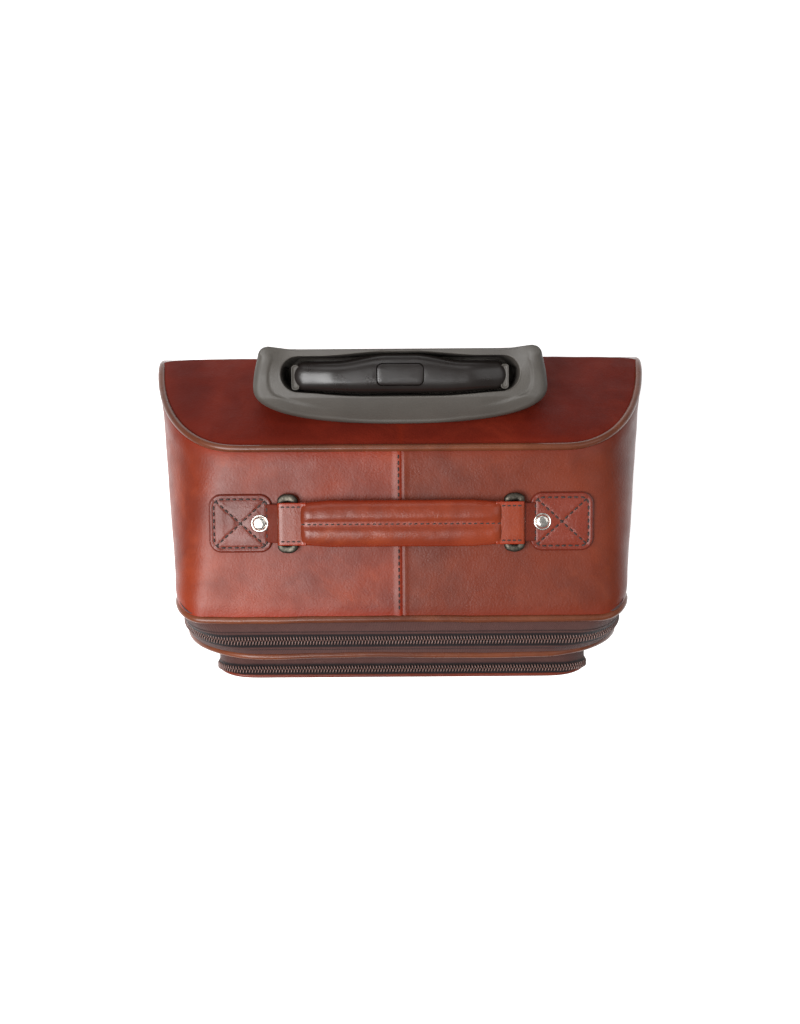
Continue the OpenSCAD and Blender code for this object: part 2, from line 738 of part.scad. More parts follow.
module trolley_bezel() {
    profile = [[bezel_lip_y, shoulder_height(bezel_lip_y) + 0.1],
        [rear_y + 0.1, shoulder_z + 0.1], [rear_y + 0.1, bezel_low],
        [bezel_rear - 3, bezel_low], [bezel_rear, bezel_low + 3],
        [bezel_rear, top_z - 5], [tube_y - 17, top_z - 6],
        [bezel_lip_y + 3, shoulder_height(bezel_lip_y) + 5]];
    color("#2b2a29") difference() {
        union() {
            intersection() {
                translate([0, 0, bezel_low]) linear_extrude(150) bezel_plan();
                side_prism(profile, back_w);
            }
            for (s = [-1, 1]) intersection() {
                translate([s * (bezel_hw - 8), tube_y + 4, 0])
                    rounded_block(16, 2 * (bezel_rear - tube_y - 4), 5, top_z - 30, top_z + 1);
                translate([0, 0, bezel_low]) linear_extrude(200) bezel_plan();
            }
        }
        translate([0, tube_y, 0]) rounded_block(grip_w + 20, grip_d + 5, 12, recess_z, top_z + 20);
        at_tubes() rounded_block(outer_tube_w + 0.2, outer_tube_d + 0.2, 4.1, bezel_low - 5, recess_z + 1);
        for (s = [-1, 1]) translate([s * (bezel_hw - 26), rear_y - 5, bezel_low + 12])
            rotate([-90, 0, 0]) cylinder(d = 4.2, h = 30);
        for (s = [-1, 1]) translate([s * (bezel_hw - 26), bezel_rear - 3, bezel_low + 12])
            rotate([-90, 0, 0]) cylinder(d = 8.4, h = 30);
    }
}

module outer_tubes() {
    color("#9a9a9a") at_tubes()
        hollow_tube(outer_tube_w, outer_tube_d, tube_wall, outer_tube_low, outer_tube_top);
}

module outer_tube_collars() {
    color("#1c1c1c") at_tubes() difference() {
        rounded_block(outer_tube_w, outer_tube_d, 4, outer_tube_top, recess_z);
        rounded_block(mid_tube_w + 2 * tube_gap, mid_tube_d + 2 * tube_gap, 4 - tube_wall,
            outer_tube_top - 1, recess_z + 1);
    }
}

module tube_foot_bracket() {
    color("#1c1c1c") difference() {
        translate([-tube_span / 2 - 24, tube_y - 10, bracket_z])
            cube([tube_span + 48, bracket_back - tube_y + 10, 16]);
        at_tubes() rounded_block(outer_tube_w + 0.1, outer_tube_d + 0.1, 4.05,
            outer_tube_low, bracket_z + 30);
        for (s = [-1, 1]) translate([s * 30, tube_y, bracket_z - 1]) cylinder(d = 4.2, h = 30);
        for (s = [-1, 1]) translate([s * 30, tube_y, bracket_z + 4]) cylinder(d = 9, h = 30);
    }
}

module mid_tubes() {
    color("#b5b5b5") at_tubes() difference() {
        hollow_tube(mid_tube_w, mid_tube_d, tube_wall, mid_tube_low, mid_tube_top);
        translate([0, 0, pin_hole_z]) rotate([0, 90, 0])
            cylinder(d = pin_d + 1, h = 60, center = true);
    }
}

module mid_tube_collars() {
    color("#1c1c1c") at_tubes() difference() {
        rounded_block(mid_tube_w, mid_tube_d, 4, mid_tube_top, mid_tube_top + 5);
        rounded_block(inner_tube_w + 2 * tube_gap, inner_tube_d + 2 * tube_gap, 4 - tube_wall,
            mid_tube_top - 1, mid_tube_top + 6);
    }
}

module inner_tubes() {
    color("#cfcfcf") at_tubes()
        hollow_tube(inner_tube_w, inner_tube_d, tube_wall, inner_tube_low, inner_tube_top);
}

module lock_blocks() {
    color("#1c1c1c") for (s = [-1, 1]) translate([s * tube_span / 2, tube_y, 0]) difference() {
        rounded_block(inner_tube_w, inner_tube_d, 3, lock_z, lock_z + lock_h);
        translate([s * (inner_tube_w / 2 - 11), 0, lock_z + 8]) rotate([0, s * 90, 0])
            cylinder(d = pin_d + 0.1, h = 30);
    }
}

module lock_pin(s) {
    color("silver") translate([s * (tube_span / 2 + inner_tube_w / 2 - 8), tube_y, lock_z + 8])
        rotate([0, s * 90, 0]) cylinder(d = pin_d, h = 8 + pin_reach);
}

// Bar of the trolley grip with rounded ends, between two heights and drawn in by shrink.
module grip_bar(z0, z1, shrink = 0) {
    translate([0, tube_y, 0])
        rounded_block(grip_w - 2 * shrink, grip_d - 2 * shrink, 12 - shrink, z0, z1);
}

module grip_lower_shell() {
    color("#1a1a1a") difference() {
        grip_bar(grip_z, grip_split);
        grip_bar(grip_z + 5, grip_split + 1, 3);
        at_tubes() rounded_block(inner_tube_w + 0.1, inner_tube_d + 0.1, 4.05, grip_z - 1, grip_z + 10);
        for (s = [-1, 1]) translate([s * 45, tube_y, grip_z - 1]) cylinder(d = 3.2, h = 12);
    }
}

module grip_upper_shell() {
    color("#1a1a1a") difference() {
        grip_bar(grip_split, grip_top);
        grip_bar(grip_split - 1, grip_top - 3, 3);
        translate([0, tube_y, 0]) rounded_block(button_w + 2 * gap, button_d + 2 * gap, 4 + gap,
            grip_split, grip_top + 5);
    }
}

module grip_screws() {
    color("silver") for (s = [-1, 1]) translate([s * 45, tube_y, 0]) union() {
        translate([0, 0, grip_z - 1.6]) cylinder(d = 6, h = 1.6);
        translate([0, 0, grip_z - 1.6]) cylinder(d = 3, h = 6.5);
    }
}

module release_button() {
    color("#222222") translate([0, tube_y, 0]) union() {
        rounded_block(button_w, button_d, 4, grip_top - 7, grip_top);
        rounded_block(14, 10, 2, link_z, grip_top - 6);
    }
}

module push_rods() {
    color("#d8d8d8") union() {
        translate([-tube_span / 2 - 4, tube_y - 4, link_z - 3]) cube([tube_span + 8, 8, 3]);
        at_tubes() translate([0, 0, inner_tube_low + button_travel + 0.5])
            cylinder(d = rod_d, h = link_z - 2 - inner_tube_low - button_travel);
    }
}

module button_spring() {
    color("silver") translate([0, tube_y, grip_z + 5]) coil_spring(3.4, 0.7, link_z - 8 - grip_z, 2);
}

// ---------- Wheels and feet ----------
foot_x = 150;
foot_y = front_y + 28;
foot_r = 12;

module wheel_housing(s) {
    r = 14;
    x = s * wheel_span / 2;
    color("#232323") difference() {
        translate([s * (housing_in + housing_out) / 2, housing_back - housing_d / 2, 0])
            rounded_block(housing_out - housing_in, housing_d, r, 16, housing_top);
        translate([x, wheel_y, wheel_z]) rotate([0, 90, 0])
            cylinder(r = well_r, h = well_w, center = true);
        translate([x - well_w / 2, wheel_y - well_r, -1]) cube([well_w, 2 * well_r, wheel_z + 1]);
        translate([x - well_w / 2, wheel_y, -1]) cube([well_w, 80, wheel_z + 1 + 12]);
        translate([x, wheel_y, wheel_z]) rotate([0, 90, 0])
            cylinder(d = axle_d, h = 2 * housing_w, center = true);
    }
}

module wheel_axles() {
    color("silver") for (s = [-1, 1]) translate([s * wheel_span / 2, wheel_y, wheel_z])
        rotate([0, 90, 0]) union() {
            cylinder(d = axle_d, h = housing_w - 4, center = true);
            for (e = [-1, 1]) translate([0, 0, e * (wheel_w / 2 + 1.75)]) difference() {
                cylinder(d = 12, h = 3, center = true);
                cylinder(d = axle_d - 0.01, h = 4, center = true);
            }
        }
}

module at_wheel(s) {
    translate([s * wheel_span / 2, wheel_y, wheel_z]) rotate([0, 90, 0]) children();
}

module tyre(s) {
    r = wheel_d / 2;
    color("#161616") at_wheel(s) rotate_extrude() polygon([[hub_d / 2, -wheel_w / 2],
        [r - 4, -wheel_w / 2], [r - 1, -wheel_w / 2 + 2], [r, -wheel_w / 2 + 6],
        [r, wheel_w / 2 - 6], [r - 1, wheel_w / 2 - 2], [r - 4, wheel_w / 2],
        [hub_d / 2, wheel_w / 2]]);
}

module hub(s) {
    color("#4a4a4a") at_wheel(s) difference() {
        cylinder(d = hub_d, h = wheel_w, center = true);
        cylinder(d = bearing_d - 5, h = wheel_w + 2, center = true);
        for (e = [-1, 1]) translate([0, 0, e * (wheel_w / 2 - bearing_w / 2 + 0.5)])
            cylinder(d = bearing_d, h = bearing_w + 1, center = true);
        for (a = [0:60:300]) rotate([0, 0, a]) translate([hub_hole_x, 0, 0])
            cylinder(d = hub_hole_d, h = wheel_w + 2, center = true);
    }
}

module bearings(s) {
    color("#aaaaaa") at_wheel(s) for (e = [-1, 1])
        translate([0, 0, e * (wheel_w / 2 - bearing_w / 2)]) difference() {
            cylinder(d = bearing_d, h = bearing_w, center = true);
            cylinder(d = axle_d + 0.1, h = bearing_w + 2, center = true);
            translate([0, 0, e * bearing_w / 2]) difference() {
                cylinder(d = 18, h = 1.6, center = true);
                cylinder(d = 12, h = 3, center = true);
            }
        }
}

module front_feet() {
    color("#161616") for (s = [-1, 1]) translate([s * foot_x, foot_y, 0]) difference() {
        union() {
            translate([0, 0, 3]) cylinder(r = foot_r, h = bottom_z - 3);
            cylinder(r1 = foot_r - 3, r2 = foot_r, h = 3);
        }
        translate([0, 0, -1]) cylinder(d = 9, h = 9);
        cylinder(d = 4.6, h = bottom_z + 5);
    }
}

module case_screws() {
    color("silver") union() {
        for (s = [-1, 1]) translate([s * foot_x, foot_y, 0]) union() {
            translate([0, 0, 5]) cylinder(d = 8, h = 3);
            translate([0, 0, 5]) cylinder(d = 4.2, h = bottom_z + 1);
        }
        for (s = [-1, 1]) translate([s * 30, tube_y, bracket_z]) union() {
            cylinder(d = 4, h = 7);
            translate([0, 0, 4]) cylinder(d = 8, h = 3);
        }
        for (s = [-1, 1]) translate([s * (bezel_hw - 26), 0, bezel_low + 12]) rotate([-90, 0, 0])
            union() {
                translate([0, 0, rear_y + 0.2]) cylinder(d = 4, h = bezel_proud - 3);
                translate([0, 0, bezel_rear - 3]) cylinder(d = 8, h = 2.4);
            }
    }
}

placed() base_board();
placed() top_board();
placed() side_board(-1);  // side_board_left
placed() side_board(1);  // side_board_right
placed() back_board();
placed() shoulder_board();
placed() corner_formers();
placed() leather_gusset();
placed() back_panel();
placed() back_piping();
placed() front_piping();
placed() body_zip_band();
placed() body_zip_coil();
placed() wheel_housing(-1);  // wheel_housing_left
placed() wheel_housing(1);  // wheel_housing_right
placed() wheel_axles();
placed() front_feet();
placed() case_screws();
placed() mirror([1, 0, 0]) handle_tab();  // handle_tab_left
placed() handle_tab();  // handle_tab_right
placed() handle_rivets();
placed() trolley_bezel();
placed() outer_tubes();
placed() outer_tube_collars();
placed() tube_foot_bracket();
placed() liner_panel();
placed() tyre(-1);  // tyre_left
placed() hub(-1);  // hub_left
placed() bearings(-1);  // bearings_left
placed() tyre(1);  // tyre_right
placed() hub(1);  // hub_right
placed() bearings(1);  // bearings_right
placed() mid_tubes();
placed() mid_tube_collars();
placed() inner_tubes();
placed() grip_lower_shell();
placed() grip_upper_shell();
placed() grip_screws();
placed() lock_blocks();
placed() release_button();
placed() push_rods();
placed() button_spring();
placed() lock_pin(-1);  // lock_pin_left
placed() lock_pin(1);  // lock_pin_right
placed() handle_pad();
placed() handle_loops();
placed() mirror([1, 0, 0]) ring();  // ring_left
placed() ring();  // ring_right
placed() lid_board();
placed() lid_panel();
placed() lid_zip_band();
placed() lid_zip_coil();
placed() lid_piping();
placed() pocket_back_band();
placed() pocket_panel();
placed() pocket_front_band();
placed() slider_at(slider_x, zip_side_y, slider_z);  // main_slider
placed() pull_at(slider_x, zip_side_y, slider_z);  // main_pull
placed()  // pocket_slider
    slider_at(pocket_slider_x, pocket_zip_y, pocket_slider_z);
placed()  // pocket_pull
    pull_at(pocket_slider_x, pocket_zip_y, pocket_slider_z);
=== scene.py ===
"""Looks of the rolling flight case: skins, piping, bands, zips, stitching and mouldings."""

import math

import bmesh
import bpy
import numpy as np
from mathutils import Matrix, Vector
from mathutils.bvhtree import BVHTree


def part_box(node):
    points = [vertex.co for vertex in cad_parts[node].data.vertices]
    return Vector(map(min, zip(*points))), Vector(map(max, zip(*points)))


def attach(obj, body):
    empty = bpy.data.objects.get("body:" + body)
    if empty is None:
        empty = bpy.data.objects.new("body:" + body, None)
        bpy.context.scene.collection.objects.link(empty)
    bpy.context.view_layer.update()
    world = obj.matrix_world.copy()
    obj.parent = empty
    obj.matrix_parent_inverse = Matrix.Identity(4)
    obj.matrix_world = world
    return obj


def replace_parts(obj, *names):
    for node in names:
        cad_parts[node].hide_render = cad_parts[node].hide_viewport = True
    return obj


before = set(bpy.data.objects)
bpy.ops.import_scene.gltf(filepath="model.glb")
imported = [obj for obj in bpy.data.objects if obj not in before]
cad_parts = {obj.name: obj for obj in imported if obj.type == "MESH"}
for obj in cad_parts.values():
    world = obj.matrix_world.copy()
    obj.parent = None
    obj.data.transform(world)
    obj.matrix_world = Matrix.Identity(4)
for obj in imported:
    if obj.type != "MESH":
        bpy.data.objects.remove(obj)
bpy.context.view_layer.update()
MM = 0.001


# ---------- Sizes, from the frame ----------


def low(node):
    return np.array(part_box(node)[0])


def high(node):
    return np.array(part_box(node)[1])


def middle(node):
    return (low(node) + high(node)) / 2


TOP = high("leather_gusset")[2]
BOTTOM = low("leather_gusset")[2]
FRONT_Y = low("leather_gusset")[1]
REAR_Y = high("back_panel")[1]
DEPTH = REAR_Y - FRONT_Y
BACK_HW = high("back_panel")[0]
PIPING_R = 3.25 * MM
FRONT_HW = high("front_piping")[0] - PIPING_R + 0.5 * MM
LID_HW = high("lid_panel")[0] + 1 * MM
LID_TOP = high("lid_panel")[2] + 1 * MM
LID_LOW = low("lid_panel")[2] - 1 * MM
LID_Y = low("lid_panel")[1] + 2.5 * MM
POCKET_Y = low("pocket_panel")[1]
POCKET_HW = high("pocket_panel")[0] - 0.5 * MM
POCKET_TOP = high("pocket_panel")[2] - 0.5 * MM
POCKET_LOW = low("pocket_panel")[2] + 0.5 * MM
FRONT_R, BACK_R, LOW_R, LID_R, POCKET_R = 26 * MM, 91 * MM, 30 * MM, 75 * MM, 28 * MM
LEATHER = 2 * MM
FABRIC = 1.2 * MM
LID_PIPING_R = 2.75 * MM
SWEEP = 15 * MM
ZIP_BACK = 13 * MM
BAND = FRONT_Y - LID_Y
ZIP_SHARE = 1 - ZIP_BACK / BAND
SHOULDER_D, SHOULDER_H = 75 * MM, 95 * MM
SLOPE = SHOULDER_H / SHOULDER_D
SHOULDER_Z = TOP - SHOULDER_H
SHOULDER_Y = REAR_Y - SHOULDER_D
NOTCH_X = low("wheel_housing_right")[0]
NOTCH_Y = low("wheel_housing_right")[1]
NOTCH_Z = high("wheel_housing_right")[2]
COIL_W = 4.6 * MM


# ---------- Mesh helpers ----------


def fade(distance, reach):
    """From 1 at no distance towards 0 well past reach."""
    return np.exp(-distance / reach)


def hump(x, at, width):
    """A smooth bump of height 1 at a place."""
    return np.exp(-((x - at) / width) ** 2)


def signed_power(v, power):
    return np.sign(v) * np.abs(v) ** power


def superellipse(t, power):
    return signed_power(np.cos(t), power), signed_power(np.sin(t), power)


def turn(count):
    """Even angles once round a circle."""
    return np.linspace(0, 2 * math.pi, count, endpoint=False)


def distance_along(path):
    return np.r_[0, np.cumsum(np.linalg.norm(np.diff(path, axis=0), axis=1))]


def level(loop, z, x=0.0, y=0.0):
    """A plan loop moved by x and y, at one height or at a height for each point."""
    return np.column_stack([x + loop[:, 0], y + loop[:, 1], np.broadcast_to(z, len(loop))])


def side_name(side):
    return "right" if side > 0 else "left"


def on_both_sides(make):
    for side in (1, -1):
        make(side)


def add_object(name, data):
    obj = bpy.data.objects.new(name, data)
    bpy.context.scene.collection.objects.link(obj)
    return obj


def make_mesh(name, verts, faces, body, material, uv=None, edge=None):
    """A mesh piece that rides on a body, with the given materials."""
    mesh = bpy.data.meshes.new(name)
    mesh.from_pydata(np.asarray(verts, float).tolist(), [], [list(map(int, f)) for f in faces])
    mesh.update()
    if uv is not None:
        layer = mesh.uv_layers.new(name="UVMap")
        index = np.zeros(len(mesh.loops), int)
        mesh.loops.foreach_get("vertex_index", index)
        layer.data.foreach_set("uv", np.asarray(uv, np.float32)[index].ravel())
    if edge is not None:
        mesh.attributes.new("edge", "FLOAT", "POINT").data.foreach_set(
            "value", np.asarray(edge, np.float32).ravel())
    mesh.shade_smooth()
    obj = add_object(name, mesh)
    for m in material if isinstance(material, (list, tuple)) else [material]:
        mesh.materials.append(m)
    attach(obj, body)
    return obj


def grid_faces(rows, cols, wrap=False, flip=False):
    """Quads of a grid of rows by cols points; wrap joins the last column to the first."""
    i, j = np.meshgrid(np.arange(rows - 1), np.arange(cols if wrap else cols - 1), indexing="ij")
    k = (j + 1) % cols
    quads = np.stack([i * cols + j, i * cols + k, (i + 1) * cols + k, (i + 1) * cols + j], -1)
    quads = quads.reshape(-1, 4)
    return quads[:, ::-1] if flip else quads


def grid_uv(points):
    """UVs in metres along a grid's columns and rows."""
    along = np.zeros(points.shape[:2])
    across = np.zeros(points.shape[:2])
    along[:, 1:] = np.cumsum(np.linalg.norm(np.diff(points, axis=1), axis=2), axis=1)
    across[1:] = np.cumsum(np.linalg.norm(np.diff(points, axis=0), axis=2), axis=0)
    return np.stack([along, across], -1).reshape(-1, 2)


def grid_normals(points, wrap=False):
    """Unit normals of a grid of points."""
    if wrap:
        padded = np.concatenate([points[:, -1:], points, points[:, :1]], axis=1)
        du = (padded[:, 2:] - padded[:, :-2])
    else:
        du = np.gradient(points, axis=1)
    dv = np.gradient(points, axis=0)
    n = np.cross(du, dv)
    return n / np.maximum(np.linalg.norm(n, axis=2, keepdims=True), 1e-12)


def wobble(points, wavelength, seed, octaves=3):
    """Smooth pseudo-random height from -1 to 1 at each point, the same on every run."""
    r = np.random.default_rng(seed)
    total = np.zeros(points.shape[:-1])
    weight = 0
    for o in range(octaves):
        for _ in range(5):
            k = r.normal(size=3)
            k *= 2 * math.pi / (wavelength / 2**o) / np.linalg.norm(k)
            total += np.sin(points @ k + r.uniform(0, 6.28)) / 2**o
            weight += 1 / 2**o
    return total / weight * 2.2


def bevel(obj, width):
    m = obj.modifiers.new("bevel", "BEVEL")
    m.width = width
    m.segments = 3
    m.limit_method = "ANGLE"
    m.angle_limit = math.radians(32)
    m.harden_normals = False
    return m


def skin(name, grid, body, outside, edge, thickness, node=None, wrap=False, flip=False,
         cut=None):
    """A skin through a grid of points, with the lining on its inner side."""
    obj = make_mesh(name, grid.reshape(-1, 3), grid_faces(*grid.shape[:2], wrap=wrap, flip=flip),
                    body, [outside, lining_cloth], uv=grid_uv(grid), edge=edge)
    if cut:
        cut(obj)
    m = obj.modifiers.new("thickness", "SOLIDIFY")
    m.thickness = thickness
    m.offset = -1
    m.use_even_offset = False
    m.material_offset = 1
    if node:
        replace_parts(obj, node)
    return obj


def resample(path, step, closed=False):
    """Points a steady step apart along a polyline."""
    p = np.asarray(path, float)
    if closed:
        p = np.vstack([p, p[:1]])
    s = distance_along(p)
    n = max(8, int(round(s[-1] / step)))
    t = np.linspace(0, s[-1], n, endpoint=not closed)
    return np.stack([np.interp(t, s, p[:, k]) for k in range(3)], -1)


def smooth_path(path, times, closed=False):
    p = np.asarray(path, float).copy()
    for _ in range(times):
        if closed:
            p = (np.roll(p, 1, 0) + 2 * p + np.roll(p, -1, 0)) / 4
        else:
            p[1:-1] = (p[:-2] + 2 * p[1:-1] + p[2:]) / 4
    return p


def tangents(path, closed=False):
    t = np.roll(path, -1, 0) - np.roll(path, 1, 0) if closed else np.gradient(path, axis=0)
    return t / np.linalg.norm(t, axis=1, keepdims=True)


def tube(name, path, radius, body, material, closed=False, sides=14, wave=0.0):
    """A round cord along a path, with slight unevenness of its radius."""
    path = np.asarray(path, float)
    t = tangents(path, closed)
    u = np.cross(t, (0, 1, 0))
    u /= np.linalg.norm(u, axis=1, keepdims=True)
    v = np.cross(u, t)
    a = turn(sides)
    r = np.broadcast_to(radius, len(path)) * (1 + wave * wobble(path, 30 * MM, 1))
    pts = path[:, None] + r[:, None, None] * (
        np.cos(a)[None, :, None] * u[:, None] + np.sin(a)[None, :, None] * v[:, None])
    n = len(path)
    verts = pts.reshape(-1, 3)
    if closed:
        faces = grid_faces(n + 1, sides, wrap=True) % (n * sides)
        return make_mesh(name, verts, faces, body, material)
    faces = list(grid_faces(n, sides, wrap=True))
    caps = [list(range(sides))[::-1], [(n - 1) * sides + k for k in range(sides)]]
    return make_mesh(name, verts, faces + caps, body, material)


def stamp(name, template, faces, origins, axes, body, material):
    """Copies of a small shape, one at each origin, with its x, y and z along the given axes."""
    template = np.asarray(template, float)
    verts = origins[:, None] + np.einsum("vk,nkc->nvc", template, axes)
    count = len(template)
    all_faces = [[v + i * count for v in f] for i in range(len(origins)) for f in faces]
    return make_mesh(name, verts.reshape(-1, 3), all_faces, body, material)


def capsule(length, width, height, sides=6):
    """A stitch: a short rounded bar along x that bulges upwards in z."""
    xs = np.array([-0.5, -0.38, 0, 0.38, 0.5]) * length
    rs = np.array([0.35, 0.85, 1, 0.85, 0.35])
    a = turn(sides)
    lift = np.array([-0.5, -0.05, 0.1, -0.05, -0.5]) * height
    verts = [(x, width / 2 * r * math.cos(k), l + height / 2 * r * math.sin(k))
             for x, r, l in zip(xs, rs, lift) for k in a]
    faces = [list(f) for f in grid_faces(len(xs), sides, wrap=True, flip=True)]
    faces.append([k for k in range(sides)])
    faces.append([(len(xs) - 1) * sides + k for k in range(sides)][::-1])
    return verts, faces


def on_surface(path, obj, lift):
    """The path laid on top of an object's mesh, raised by lift."""
    mesh = obj.data
    tree = BVHTree.FromPolygons([v.co.copy() for v in mesh.vertices],
                                [tuple(f.vertices) for f in mesh.polygons])
    laid = resample(path, 1.0 * MM)
    for p in laid:
        hit = tree.ray_cast((p[0], p[1], p[2] + 0.03), (0, 0, -1))[0]
        if hit is not None:
            p[2] = hit[2] + lift
    return laid


class Stitching:
    """Collects stitches for one body, and makes them as one piece."""

    def __init__(self, name, body, slot, length, width, pitch):
        self.name, self.body, self.slot = name, body, slot
        self.length, self.width, self.pitch = length, width, pitch
        self.origins, self.axes = [], []

    def run(self, path, slant=0.0):
        """Stitches along a polyline that lies on a surface facing up."""
        path = resample(path, 0.5 * MM)
        t = tangents(path)
        s = distance_along(path)
        count = max(1, int(round(s[-1] / self.pitch)))
        for k in range(count):
            at = (k + 0.5) / count * s[-1]
            i = int(np.argmin(abs(s - at)))
            x = t[i]
            z = np.array([0.0, 0.0, 1.0]) - x * x[2]
            z /= np.linalg.norm(z)
            y = np.cross(z, x)
            x = x * math.cos(slant) + y * math.sin(slant)
            y = np.cross(z, x)
            self.origins.append(path[i])
            self.axes.append(np.stack([x, y, z]))

    def make(self, material):
        verts, faces = capsule(self.length, self.width, self.width)
        return stamp(self.name, verts, faces, np.array(self.origins), np.array(self.axes),
                     self.body, material)


def ring_mesh(levels, name, body, material, cap_first=False, edge=None):
    """A surface through closed loops of equal length, capped with a fan at its ends."""
    pts = np.array(levels)
    n, m = pts.shape[:2]
    verts = [*pts.reshape(-1, 3)]
    faces = [list(f) for f in grid_faces(n, m, wrap=True)]
    for row in ((0, n - 1) if cap_first else (n - 1,)):
        centre = len(verts)
        verts.append(pts[row].mean(0))
        for j in range(m):
            a, b = row * m + j, row * m + (j + 1) % m
            faces.append([b, a, centre] if row == 0 else [a, b, centre])
    return make_mesh(name, verts, faces, body, material, edge=edge)


def rounded_rect(w, d, r, per_corner=10):
    """Plan loop of a rounded rectangle about the origin, as x, y points."""
    pts = []
    for cx, cy, a0 in ((1, 1, 0), (-1, 1, 90), (-1, -1, 180), (1, -1, 270)):
        for k in range(per_corner + 1):
            a = math.radians(a0 + 90 * k / per_corner)
            pts.append((cx * (w / 2 - r) + r * math.cos(a), cy * (d / 2 - r) + r * math.sin(a)))
    return np.array(pts)


def lathe(name, profile, centre, body, material, count=64):
    """A turned piece about +Z at centre, through (radius, height) points from outside to axis."""
    a = turn(count)
    levels = [np.stack([centre[0] + r * np.cos(a), centre[1] + r * np.sin(a),
                        np.full(count, centre[2] + h)], -1) for r, h in profile]
    return ring_mesh(levels, name, body, material, cap_first=True)


def cut_notches(obj):
    """Cuts the two lower rear corners, where the wheel housings sit, out of a skin."""
    bm = bmesh.new()
    bm.from_mesh(obj.data)
    for co, no in (((NOTCH_X, 0, 0), (1, 0, 0)), ((-NOTCH_X, 0, 0), (1, 0, 0)),
                   ((0, NOTCH_Y, 0), (0, 1, 0)), ((0, 0, NOTCH_Z), (0, 0, 1))):
        bmesh.ops.bisect_plane(bm, geom=bm.verts[:] + bm.edges[:] + bm.faces[:],
                               plane_co=co, plane_no=no)
    doomed = []
    for f in bm.faces:
        x, y, z = f.calc_center_median()
        if abs(x) > NOTCH_X and y > NOTCH_Y and z < NOTCH_Z:
            doomed.append(f)
    bmesh.ops.delete(bm, geom=doomed, context="FACES")
    bm.to_mesh(obj.data)
    bm.free()
    obj.data.shade_smooth()


# ---------- Materials ----------


class Nodes:
    """Short calls for one material's node tree."""

    def __init__(self, name):
        self.material = bpy.data.materials.new(name)
        self.material.use_nodes = True
        self.tree = self.material.node_tree
        self.tree.nodes.clear()
        self.out = self.add("ShaderNodeOutputMaterial")
        self.bsdf = self.add("ShaderNodeBsdfPrincipled")
        self.link(self.bsdf, 0, self.out, 0)
        coords = self.add("ShaderNodeTexCoord")
        self.object, self.uv = coords.outputs["Object"], coords.outputs["UV"]

    def add(self, kind, **values):
        node = self.tree.nodes.new(kind)
        for key, value in values.items():
            setattr(node, key, value)
        return node

    def link(self, a, a_socket, b, b_socket):
        self.tree.links.new(a.outputs[a_socket], b.inputs[b_socket])

    def feed(self, socket, value):
        """Links an output socket, or sets a plain value."""
        if isinstance(value, bpy.types.NodeSocket):
            self.tree.links.new(value, socket)
        else:
            socket.default_value = value

    def fed(self, kind, output, **inputs):
        """A new node with its named inputs fed; returns one of its outputs."""
        n = self.add(kind)
        for key, value in inputs.items():
            self.feed(n.inputs[key], value)
        return n.outputs[output]

    def noise(self, scale, detail=3, roughness=0.55, distortion=0.0, vector=None):
        return self.fed("ShaderNodeTexNoise", "Fac", Vector=vector or self.object, Scale=scale,
                        Detail=detail, Roughness=roughness, Distortion=distortion)

    def cells(self, scale, feature, vector=None):
        n = self.add("ShaderNodeTexVoronoi", feature=feature)
        self.feed(n.inputs["Vector"], vector or self.object)
        n.inputs["Scale"].default_value = scale
        return n.outputs["Distance"]

    def scaled(self, vector, scale, rotation=(0, 0, 0)):
        return self.fed("ShaderNodeMapping", "Vector", Vector=vector, Scale=scale,
                        Rotation=rotation)

    def maths(self, operation, a, b=0.0):
        n = self.add("ShaderNodeMath", operation=operation)
        self.feed(n.inputs[0], a)
        self.feed(n.inputs[1], b)
        return n.outputs[0]

    def span(self, value, a, b, c=0.0, d=1.0, smooth=False):
        """Maps value from a..b to c..d, clamped."""
        n = self.add("ShaderNodeMapRange", clamp=True)
        if smooth:
            n.interpolation_type = "SMOOTHSTEP"
        self.feed(n.inputs[0], value)
        for k, v in enumerate((a, b, c, d)):
            n.inputs[k + 1].default_value = v
        return n.outputs[0]

    def mix(self, factor, a, b, blend="MIX"):
        n = self.add("ShaderNodeMix", data_type="RGBA", blend_type=blend)
        self.feed(n.inputs["Factor"], factor)
        self.feed(n.inputs[6], a if isinstance(a, bpy.types.NodeSocket) else (*a, 1))
        self.feed(n.inputs[7], b if isinstance(b, bpy.types.NodeSocket) else (*b, 1))
        return n.outputs[2]

    def attribute(self, name):
        return self.add("ShaderNodeAttribute", attribute_name=name).outputs["Fac"]

    def bump(self, height, strength, distance, normal=None):
        n = self.add("ShaderNodeBump")
        self.feed(n.inputs["Height"], height)
        n.inputs["Strength"].default_value = strength
        n.inputs["Distance"].default_value = distance
        if normal is not None:
            self.feed(n.inputs["Normal"], normal)
        return n.outputs["Normal"]

    def finish(self, color, roughness, normal=None, **constants):
        self.feed(self.bsdf.inputs["Base Color"],
                  color if isinstance(color, bpy.types.NodeSocket) else (*color, 1))
        self.feed(self.bsdf.inputs["Roughness"], roughness)
        if normal is not None:
            self.feed(self.bsdf.inputs["Normal"], normal)
        for key, value in constants.items():
            self.bsdf.inputs[key.replace("_", " ")].default_value = value
        return self.material


def srgb(r, g, b):
    """Linear colour from 8-bit sRGB."""
    def one(c):
        c /= 255
        return c / 12.92 if c <= 0.04045 else ((c + 0.055) / 1.055) ** 2.4
    return one(r), one(g), one(b)


